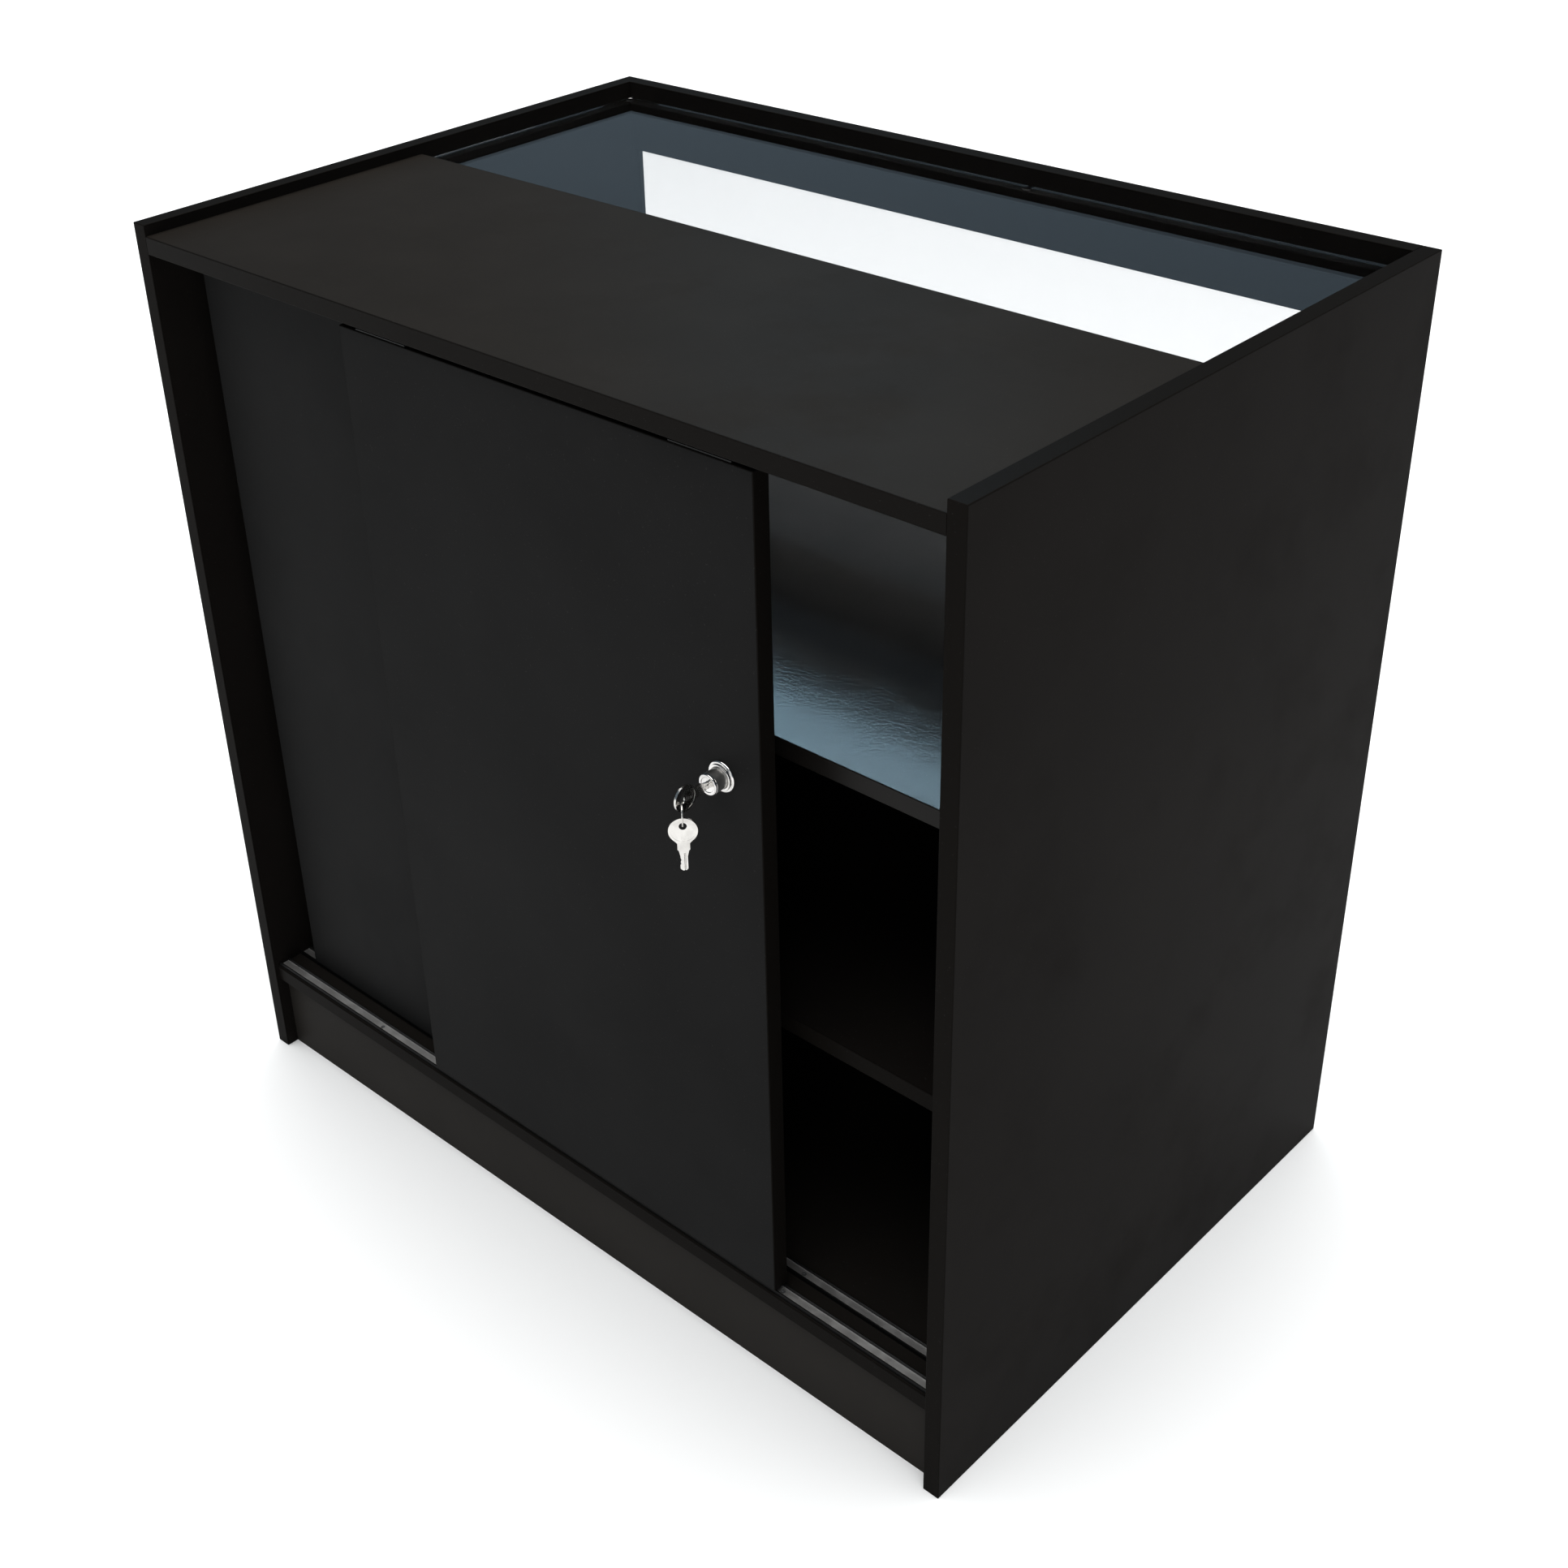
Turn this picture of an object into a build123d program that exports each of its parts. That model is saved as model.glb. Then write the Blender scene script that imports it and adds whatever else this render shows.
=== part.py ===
from build123d import *
import os
from math import cos, radians, sin

# Shop display counter in black melamine board: a glass-topped showcase over a cupboard, closed on
# the staff side by two doors that slide past each other, with a push lock in the nearer one.
#
# Millimetres. +X is to the right as the staff see it, +Y points at the customer and +Z up.
# The origin is on the floor, under the middle of the whole piece's box, hanging keys included.

os.makedirs("parts", exist_ok=True)

# ---------------------------------------------------------------- driving dimensions

# Carcase
case_width = 900.0
case_depth = 600.0
case_height = 900.0
board = 16.0
arris = 0.8  # rounding of an edged board's corners

kick_height = 88.0
kick_setback = 13.0
base_setback = 4.0
shelf_door_gap = 2.5  # behind the far door
display_deck_top = 631.0
storage_shelf_top = 370.0
shelf_end_gap = 1.0
shelf_rear_gap = 4.0
counter_deck_depth = 308.0
counter_deck_drop = 10.0
top_rail_height = 73.0

# Glass
top_glass_thickness = 5.0
top_glass_drop = 15.0
top_glass_gap = 2.0
ledge_width = 12.0
ledge_height = 12.0
pad_radius = 4.0
pad_height = 1.0
window_glass_thickness = 4.0
window_glass_setback = 5.7
glass_groove_clearance = 0.3
glass_groove_side_depth = 5.5
glass_groove_sill_depth = 6.0
glass_groove_rail_depth = 10.0
glass_groove_end_gap = 0.5

# Sliding doors
door_overlap = 22.0
near_door_setback = 4.5
door_spacing = 11.0
door_bottom_gap = 6.0  # above the base panel
door_top_gap = 5.0  # below the counter deck
near_door_parked = 257.0  # from the left side panel to the door's left edge, as it stands
far_door_parked = 30.0

# Bottom tracks and rollers
track_width = 12.0
track_height = 4.5
track_wall = 1.2
track_end_gap = 1.0
track_screw_pitch = 270.0
track_screw_head_radius = 2.1
track_screw_shank_radius = 1.45
track_screw_length = 12.0
roller_inset = 60.0
roller_radius = 9.0
roller_width = 5.0
roller_groove_radius = 1.1
roller_rise = 0.3  # above the track's floor
roller_hub_gap = 0.4
axle_radius = 2.0
axle_fit = 0.05
housing_length = 42.0
housing_width = 11.4
housing_height = 20.0
housing_flange_length = 58.0
housing_flange_width = 13.0
housing_flange_height = 1.5
housing_slot_gap = 1.5
mortise_clearance = 0.2

# Top guides
guide_groove_depth = 10.5
guide_channel_width = 8.8
guide_channel_wall = 1.0
guide_channel_clearance = 0.1
guide_inset = 50.5
guide_plate_length = 60.0
guide_plate_width = 14.0
guide_plate_height = 1.2
guide_fin_length = 22.0
guide_fin_width = 5.0
guide_fin_height = 9.3
guide_screw_pitch = 47.0
guide_screw_head_radius = 3.0
guide_screw_head_height = 1.8
guide_screw_shank_radius = 1.5
guide_screw_length = 15.0

# Push lock
lock_inset = 39.0  # from the near door's right edge
lock_height = 613.0
rosette_radius = 13.0
rosette_rim = 2.2
rosette_collar_radius = 11.0
rosette_height = 4.0
barrel_radius = 10.0
barrel_clearance = 0.2
barrel_back_wall = 2.0
nut_across_flats = 25.0
nut_height = 4.0
nut_clearance = 0.1
plunger_radius = 8.75
plunger_reach = 16.5
plunger_length = 18.0
plunger_travel = 12.0
bezel_height = 2.5
bolt_radius = 5.5
bolt_proud = 2.0  # past the lock's back at rest
lock_fit = 0.05
core_radius = 6.0
core_recess = 0.5
core_length = 15.0
core_end_gap = 0.3
strike_radius = 8.0
strike_wall = 1.2
strike_flange_radius = 11.0
strike_flange_height = 1.0
spring_wire_radius = 0.4
spring_radius = 7.0
spring_turns = 5

# Keys and ring
key_thickness = 1.8
key_length = 46.0
key_head_radius = 11.0
key_neck_length = 9.0
key_neck_width = 9.4
key_blade_width = 6.0
key_hole_radius = 3.0
key_hole_inset = 7.0
key_slot_clearance = 0.2
key_exposed = 34.5  # from the core's face to the head's far edge
ring_radius = 9.5
ring_wire_radius = 0.8
ring_seat_gap = 0.6
ring_yaw = 45.0  # the ring hangs turned by this from the door's plane

# Flat-pack joints
cam_radius = 7.5
cam_height = 12.5
cam_clearance = 0.1
cam_inset = 24.0
cam_bolt_radius = 3.5
cam_thread_radius = 2.5
cam_thread_depth = 11.0
dowel_radius = 4.0
dowel_in_panel = 10.0
dowel_in_board = 20.0
dowel_clearance = 0.05
joint_end_gap = 0.5
joint_edge_inset = 60.0  # from a board's edge to its first cam
joint_dowel_pitch = 32.0  # from each cam to its dowel
shelf_pin_radius = 2.5
shelf_pin_clearance = 0.05
shelf_pin_depth = 8.0
shelf_pin_reach = 9.0
shelf_pin_collar_radius = 3.6
shelf_pin_collar_height = 1.2
shelf_pin_inset = 37.0
shelf_pin_pitch = 32.0
shelf_pin_rows = 4  # above and below the shelf as it stands

# ---------------------------------------------------------------- places worked out from them

# The keys hang out past the staff edge, so the box's middle in Y depends on their reach.
ring_turn = radians(ring_yaw)
key_ring_reach = plunger_reach - core_recess + key_exposed - key_hole_inset - near_door_setback
spare_half_depth = key_head_radius * sin(ring_turn) + key_thickness / 2 * cos(ring_turn)
key_reach = key_ring_reach + spare_half_depth

staff_edge = (key_reach - case_depth) / 2
customer_face = staff_edge + case_depth
outer_x = case_width / 2
inner_x = outer_x - board
front_inner = customer_face - board

base_top = kick_height + board
deck_top = case_height - counter_deck_drop
deck_bottom = deck_top - board
deck_back = staff_edge + counter_deck_depth
display_deck_bottom = display_deck_top - board
storage_shelf_bottom = storage_shelf_top - board
rail_bottom = case_height - top_rail_height
shelf_back = front_inner - shelf_rear_gap

glass_top = case_height - top_glass_drop
glass_bottom = glass_top - top_glass_thickness
ledge_top = glass_bottom - pad_height
ledge_bottom = ledge_top - ledge_height

window_front = customer_face - window_glass_setback
window_back = window_front - window_glass_thickness
window_low = display_deck_top - glass_groove_sill_depth + glass_groove_end_gap
window_high = rail_bottom + glass_groove_rail_depth - 2 * glass_groove_end_gap
window_half = inner_x + glass_groove_side_depth - glass_groove_end_gap
window_groove = (window_back - glass_groove_clearance, window_front + glass_groove_clearance)

opening = 2 * inner_x
door_width = (opening + door_overlap) / 2
door_bottom = base_top + door_bottom_gap
door_top = deck_bottom - door_top_gap
near_face = staff_edge + near_door_setback
near_line = near_face + board / 2
far_face = near_face + board + door_spacing
far_line = far_face + board / 2
shelf_front = far_face + board + shelf_door_gap
door_left = {"near": near_door_parked - inner_x, "far": far_door_parked - inner_x}
door_line = {"near": near_line, "far": far_line}

track_floor = base_top + track_wall
track_top = base_top + track_height
track_half = inner_x - track_end_gap
roller_z = track_floor + roller_rise + roller_radius
guide_groove_width = guide_channel_width + 2 * guide_channel_clearance
guide_groove_top = deck_bottom + guide_groove_depth

lock_x = door_left["near"] + door_width - lock_inset
barrel_back = near_face + board + nut_height
plunger_front = near_face - plunger_reach
plunger_back = plunger_front + plunger_length
bolt_tip = barrel_back + bolt_proud
core_front = plunger_front + core_recess
core_back = core_front + core_length
lock_axis = Axis((lock_x, 0, lock_height), (0, 1, 0))
lock_plane = Plane.XY.offset(lock_height)

key_far_end = core_front - key_exposed
key_hole_y = key_far_end + key_hole_inset
key_tip = key_far_end + key_length
ring_drop = key_hole_radius - ring_wire_radius - ring_seat_gap
ring_top_z = lock_height - ring_drop
ring_bottom_z = ring_top_z - 2 * ring_radius
spare_hole_z = ring_bottom_z - ring_drop

ALONG_X = (0, 90, 0)
ALONG_Y = (-90, 0, 0)
ALONG_Z = (0, 0, 0)
SIDES = (("left", -1), ("right", 1))


# ---------------------------------------------------------------- helpers


def block(x, y, z, mode=Mode.ADD):
    """A rectangular block in the active part, from its low and high value on each axis."""
    with Locations((sum(x) / 2, sum(y) / 2, sum(z) / 2)):
        Box(x[1] - x[0], y[1] - y[0], z[1] - z[0], mode=mode)


def rods(centres, radius, length, along, mode=Mode.ADD):
    """Round bars or holes in the active part, one at each centre."""
    with Locations(*centres):
        Cylinder(radius, length, rotation=along, mode=mode)


def save(piece, name):
    """Labels a finished piece and writes it as the node of that name."""
    piece.part.label = name
    export_step(piece.part, f"parts/{name}.step")


def mirrored_span(side, low, high):
    """The X span from low to high on the right, or its mirror image on the left."""
    return (low, high) if side > 0 else (-high, -low)


# ---------------------------------------------------------------- joints between the boards

# Each lying board is pulled to the side panels by cams, two at each end, with a dowel beside each.
lying_boards = {
    "base_panel": (kick_height, staff_edge + base_setback, front_inner),
    "display_deck": (display_deck_bottom, shelf_front, front_inner),
    "counter_deck": (deck_bottom, staff_edge + joint_edge_inset, deck_back),
}
# Each standing board has two dowels at each end.
standing_boards = {
    "kick_board": (staff_edge + kick_setback + board / 2, 0.0, kick_height),
    "front_lower_panel": (front_inner + board / 2, 0.0, kick_height),
    "front_top_rail": (front_inner + board / 2, rail_bottom, case_height),
}


def cam_rows(name):
    """The Y of the two cams at each end of a lying board."""
    _, front, back = lying_boards[name]
    return (front + joint_edge_inset, back - joint_edge_inset)


def lying_dowel_rows(name):
    """The Y of the dowels beside the cams, on their inner sides."""
    front, back = cam_rows(name)
    return (front + joint_dowel_pitch, back - joint_dowel_pitch)


def dowel_places(name):
    """The Y and Z of every dowel at one end of a board."""
    if name in lying_boards:
        z = lying_boards[name][0] + board / 2
        return [(y, z) for y in lying_dowel_rows(name)]
    y, low, high = standing_boards[name]
    return [(y, low + (high - low) * share) for share in (0.25, 0.75)]


def cut_end_joints(name):
    """Cuts a board's own share of its end joints in the active part."""
    depth = dowel_in_board + joint_end_gap
    for _, side in SIDES:
        x = side * (inner_x - depth / 2)
        holes = [(x, y, z) for y, z in dowel_places(name)]
        rods(holes, dowel_radius + dowel_clearance, depth, ALONG_X, Mode.SUBTRACT)
        if name in lying_boards:
            bottom = lying_boards[name][0]
            for y in cam_rows(name):
                pocket = [(side * (inner_x - cam_inset), y, bottom + cam_height / 2)]
                rods(pocket, cam_radius + cam_clearance, cam_height, ALONG_Z, Mode.SUBTRACT)
                bore = [(side * (inner_x - cam_inset / 2), y, bottom + board / 2)]
                rods(bore, cam_bolt_radius + cam_clearance, cam_inset, ALONG_X, Mode.SUBTRACT)


def shelf_pin_places():
    """The Y and Z of every shelf pin hole in a side panel, and of those in use."""
    columns = (shelf_front + shelf_pin_inset, shelf_back - shelf_pin_inset)
    used_z = storage_shelf_bottom - shelf_pin_radius
    rows = range(-shelf_pin_rows, shelf_pin_rows + 1)
    every = [(y, used_z + row * shelf_pin_pitch) for y in columns for row in rows]
    return every, [(y, used_z) for y in columns]


# ---------------------------------------------------------------- side panels

for side_name, side in SIDES:
    with BuildPart() as side_panel:
        span = mirrored_span(side, inner_x, outer_x)
        block(span, (staff_edge, customer_face), (0, case_height))
        fillet(side_panel.edges(), arris)
        # Groove for the window glass
        groove = mirrored_span(side, inner_x, inner_x + glass_groove_side_depth)
        low = display_deck_top - glass_groove_sill_depth
        high = rail_bottom + glass_groove_rail_depth
        block(groove, window_groove, (low, high), Mode.SUBTRACT)
        # Shelf pin holes, dowel holes and cam bolt pilots
        pin_depth = shelf_pin_depth + joint_end_gap
        x = side * (inner_x + pin_depth / 2)
        holes = [(x, y, z) for y, z in shelf_pin_places()[0]]
        rods(holes, shelf_pin_radius + shelf_pin_clearance, pin_depth, ALONG_X, Mode.SUBTRACT)
        dowel_depth = dowel_in_panel + joint_end_gap
        x = side * (inner_x + dowel_depth / 2)
        for name in (*lying_boards, *standing_boards):
            holes = [(x, y, z) for y, z in dowel_places(name)]
            rods(holes, dowel_radius + dowel_clearance, dowel_depth, ALONG_X, Mode.SUBTRACT)
        pilot_depth = cam_thread_depth + joint_end_gap
        x = side * (inner_x + pilot_depth / 2)
        for name, (bottom, _, _) in lying_boards.items():
            holes = [(x, y, bottom + board / 2) for y in cam_rows(name)]
            rods(holes, cam_thread_radius + cam_clearance, pilot_depth, ALONG_X, Mode.SUBTRACT)
    save(side_panel, f"{side_name}_side_panel")

# ---------------------------------------------------------------- boards between the sides

with BuildPart() as kick_board:
    kick_front = staff_edge + kick_setback
    block((-inner_x, inner_x), (kick_front, kick_front + board), (0, kick_height))
    cut_end_joints("kick_board")
save(kick_board, "kick_board")

# Places of the screws that hold each bottom track, from the middle outwards
screw_steps = int(track_half / track_screw_pitch)
track_screw_x = [step * track_screw_pitch for step in range(-screw_steps, screw_steps + 1)]
track_screws_at = [(x, y) for y in (near_line, far_line) for x in track_screw_x]

with BuildPart() as base_panel:
    base_front = staff_edge + base_setback
    block((-inner_x, inner_x), (base_front, front_inner), (kick_height, base_top))
    fillet(base_panel.edges().filter_by(Axis.X).group_by(Axis.Y)[0], arris)
    cut_end_joints("base_panel")
    pilots = [(x, y, base_top - track_screw_length / 2) for x, y in track_screws_at]
    pilot_radius = track_screw_shank_radius + shelf_pin_clearance
    rods(pilots, pilot_radius, track_screw_length, ALONG_Z, Mode.SUBTRACT)
save(base_panel, "base_panel")

with BuildPart() as storage_shelf:
    shelf_half = inner_x - shelf_end_gap
    thickness = (storage_shelf_bottom, storage_shelf_top)
    block((-shelf_half, shelf_half), (shelf_front, shelf_back), thickness)
    fillet(storage_shelf.edges(), arris)
save(storage_shelf, "storage_shelf")

with BuildPart() as display_deck:
    thickness = (display_deck_bottom, display_deck_top)
    block((-inner_x, inner_x), (shelf_front, front_inner), thickness)
    fillet(display_deck.edges().filter_by(Axis.X).group_by(Axis.Y)[0], arris)
    cut_end_joints("display_deck")
save(display_deck, "display_deck")

with BuildPart() as counter_deck:
    block((-inner_x, inner_x), (staff_edge, deck_back), (deck_bottom, deck_top))
    fillet(counter_deck.edges().filter_by(Axis.X), arris)
    # Grooves for the doors' top guide channels
    for line in (near_line, far_line):
        groove = (line - guide_groove_width / 2, line + guide_groove_width / 2)
        block((-inner_x, inner_x), groove, (deck_bottom, guide_groove_top), Mode.SUBTRACT)
    cut_end_joints("counter_deck")
save(counter_deck, "counter_deck")

with BuildPart() as front_lower_panel:
    block((-inner_x, inner_x), (front_inner, customer_face), (0, display_deck_top))
    fillet(front_lower_panel.edges().filter_by(Axis.X).group_by(Axis.Z)[-1], arris)
    sill_groove = (display_deck_top - glass_groove_sill_depth, display_deck_top)
    block((-inner_x, inner_x), window_groove, sill_groove, Mode.SUBTRACT)
    cut_end_joints("front_lower_panel")
save(front_lower_panel, "front_lower_panel")

with BuildPart() as front_top_rail:
    block((-inner_x, inner_x), (front_inner, customer_face), (rail_bottom, case_height))
    fillet(front_top_rail.edges().filter_by(Axis.X), arris)
    rail_groove = (rail_bottom, rail_bottom + glass_groove_rail_depth)
    block((-inner_x, inner_x), window_groove, rail_groove, Mode.SUBTRACT)
    cut_end_joints("front_top_rail")
save(front_top_rail, "front_top_rail")

# ---------------------------------------------------------------- hidden fittings of the carcase

with BuildPart() as cam_discs:
    for name, (bottom, _, _) in lying_boards.items():
        centres = [
            (side * (inner_x - cam_inset), y, bottom + cam_height / 2)
            for _, side in SIDES
            for y in cam_rows(name)
        ]
        rods(centres, cam_radius, cam_height, ALONG_Z)
        # Screwdriver slot in the disc's open face
        slot_width, slot_length, slot_depth = 1.6, 9.0, 3.0
        with Locations(*[(x, y, bottom + slot_depth / 2) for x, y, _ in centres]):
            Box(slot_width, slot_length, slot_depth, mode=Mode.SUBTRACT)
save(cam_discs, "cam_discs")

with BuildPart() as cam_bolts:
    bolt_length = cam_inset - cam_radius - cam_clearance
    for name, (bottom, _, _) in lying_boards.items():
        z = bottom + board / 2
        for _, side in SIDES:
            shanks = [(side * (inner_x - bolt_length / 2), y, z) for y in cam_rows(name)]
            rods(shanks, cam_bolt_radius, bolt_length, ALONG_X)
            threads = [(side * (inner_x + cam_thread_depth / 2), y, z) for y in cam_rows(name)]
            rods(threads, cam_thread_radius, cam_thread_depth, ALONG_X)
save(cam_bolts, "cam_bolts")

with BuildPart() as dowels:
    middle = inner_x + (dowel_in_panel - dowel_in_board) / 2
    for name in (*lying_boards, *standing_boards):
        centres = [(side * middle, y, z) for _, side in SIDES for y, z in dowel_places(name)]
        rods(centres, dowel_radius, dowel_in_panel + dowel_in_board, ALONG_X)
    chamfer(dowels.edges().filter_by(GeomType.CIRCLE), 0.8)
save(dowels, "dowels")

with BuildPart() as shelf_pins:
    for _, side in SIDES:
        pin_length = shelf_pin_depth + shelf_pin_reach
        x = side * (inner_x + (shelf_pin_depth - shelf_pin_reach) / 2)
        rods([(x, y, z) for y, z in shelf_pin_places()[1]], shelf_pin_radius, pin_length, ALONG_X)
        # Collar against the panel, cut flat where the shelf lies over it
        x = side * (inner_x - shelf_pin_collar_height / 2)
        collars = [(x, y, z) for y, z in shelf_pin_places()[1]]
        rods(collars, shelf_pin_collar_radius, shelf_pin_collar_height, ALONG_X)
    flat = (storage_shelf_bottom, storage_shelf_bottom + shelf_pin_collar_radius)
    block((-inner_x, inner_x), (shelf_front, shelf_back), flat, Mode.SUBTRACT)
save(shelf_pins, "shelf_pins")

# ---------------------------------------------------------------- glass

ledge_z = (ledge_bottom, ledge_top)
ledge_inner_x = inner_x - ledge_width

for side_name, side in SIDES:
    with BuildPart() as side_ledge:
        block(mirrored_span(side, ledge_inner_x, inner_x), (deck_back, front_inner), ledge_z)
        fillet(side_ledge.edges().filter_by(Axis.Y), arris)
    save(side_ledge, f"glass_ledge_{side_name}")

for end_name, low in (("front", front_inner - ledge_width), ("rear", deck_back)):
    with BuildPart() as cross_ledge:
        block((-ledge_inner_x, ledge_inner_x), (low, low + ledge_width), ledge_z)
        fillet(cross_ledge.edges().filter_by(Axis.X), arris)
    save(cross_ledge, f"glass_ledge_{end_name}")

with BuildPart() as glass_pads:
    pad_x = inner_x - ledge_width / 2
    pad_front = front_inner - ledge_width / 2
    pad_rear = deck_back + ledge_width / 2
    pad_off_middle = 70.0
    pads = [(x, y, ledge_top + pad_height / 2) for x in (-pad_x, pad_x) for y in (pad_front, pad_rear)]
    pads += [(pad_off_middle, y, ledge_top + pad_height / 2) for y in (pad_front, pad_rear)]
    rods(pads, pad_radius, pad_height, ALONG_Z)
save(glass_pads, "glass_pads")

with BuildPart() as top_glass:
    half = inner_x - top_glass_gap
    span = (deck_back + top_glass_gap, front_inner - top_glass_gap)
    block((-half, half), span, (glass_bottom, glass_top))
    chamfer(top_glass.edges().group_by(Axis.Z)[-1], 0.5)
save(top_glass, "top_glass")

with BuildPart() as front_glass:
    block((-window_half, window_half), (window_back, window_front), (window_low, window_high))
save(front_glass, "front_glass")

# ---------------------------------------------------------------- tracks and top guide channels

for door_name, line in door_line.items():
    with BuildPart() as track:
        edge = track_width / 2
        block((-track_half, track_half), (line - edge, line + edge), (base_top, track_top))
        fillet(track.edges().filter_by(Axis.X).group_by(Axis.Z)[-1], 0.4)
        run = (line - edge + track_wall, line + edge - track_wall)
        block((-track_half, track_half), run, (track_floor, track_top), Mode.SUBTRACT)
        heads = [(x, line, base_top + track_wall / 2) for x in track_screw_x]
        head_hole = track_screw_head_radius + cam_clearance
        rods(heads, head_hole, track_wall, ALONG_Z, Mode.SUBTRACT)
    save(track, f"{door_name}_track")

    with BuildPart() as guide_channel:
        edge = guide_channel_width / 2
        ceiling = guide_groove_top - guide_channel_clearance
        block((-inner_x, inner_x), (line - edge, line + edge), (deck_bottom, ceiling))
        run = (line - edge + guide_channel_wall, line + edge - guide_channel_wall)
        hollow = (deck_bottom, ceiling - guide_channel_wall)
        block((-inner_x, inner_x), run, hollow, Mode.SUBTRACT)
    save(guide_channel, f"{door_name}_guide_channel")

with BuildPart() as track_screws:
    heads = [(x, y, base_top + track_wall / 2) for x, y in track_screws_at]
    rods(heads, track_screw_head_radius, track_wall, ALONG_Z)
    shanks = [(x, y, base_top - track_screw_length / 2) for x, y in track_screws_at]
    rods(shanks, track_screw_shank_radius, track_screw_length, ALONG_Z)
    # Cross recess in each head
    recess_width, recess_length, recess_depth = 0.6, 2.6, 0.6
    with Locations(*[(x, y, track_floor - recess_depth / 2) for x, y in track_screws_at]):
        Box(recess_width, recess_length, recess_depth, mode=Mode.SUBTRACT)
        Box(recess_length, recess_width, recess_depth, mode=Mode.SUBTRACT)
save(track_screws, "track_screws")

# ---------------------------------------------------------------- sliding doors


def roller_places(door_name):
    """The X of a door's left and right rollers."""
    left = door_left[door_name]
    return {"left": left + roller_inset, "right": left + door_width - roller_inset}


def guide_places(door_name):
    """The X of a door's left and right top guides."""
    left = door_left[door_name]
    return {"left": left + guide_inset, "right": left + door_width - guide_inset}


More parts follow.
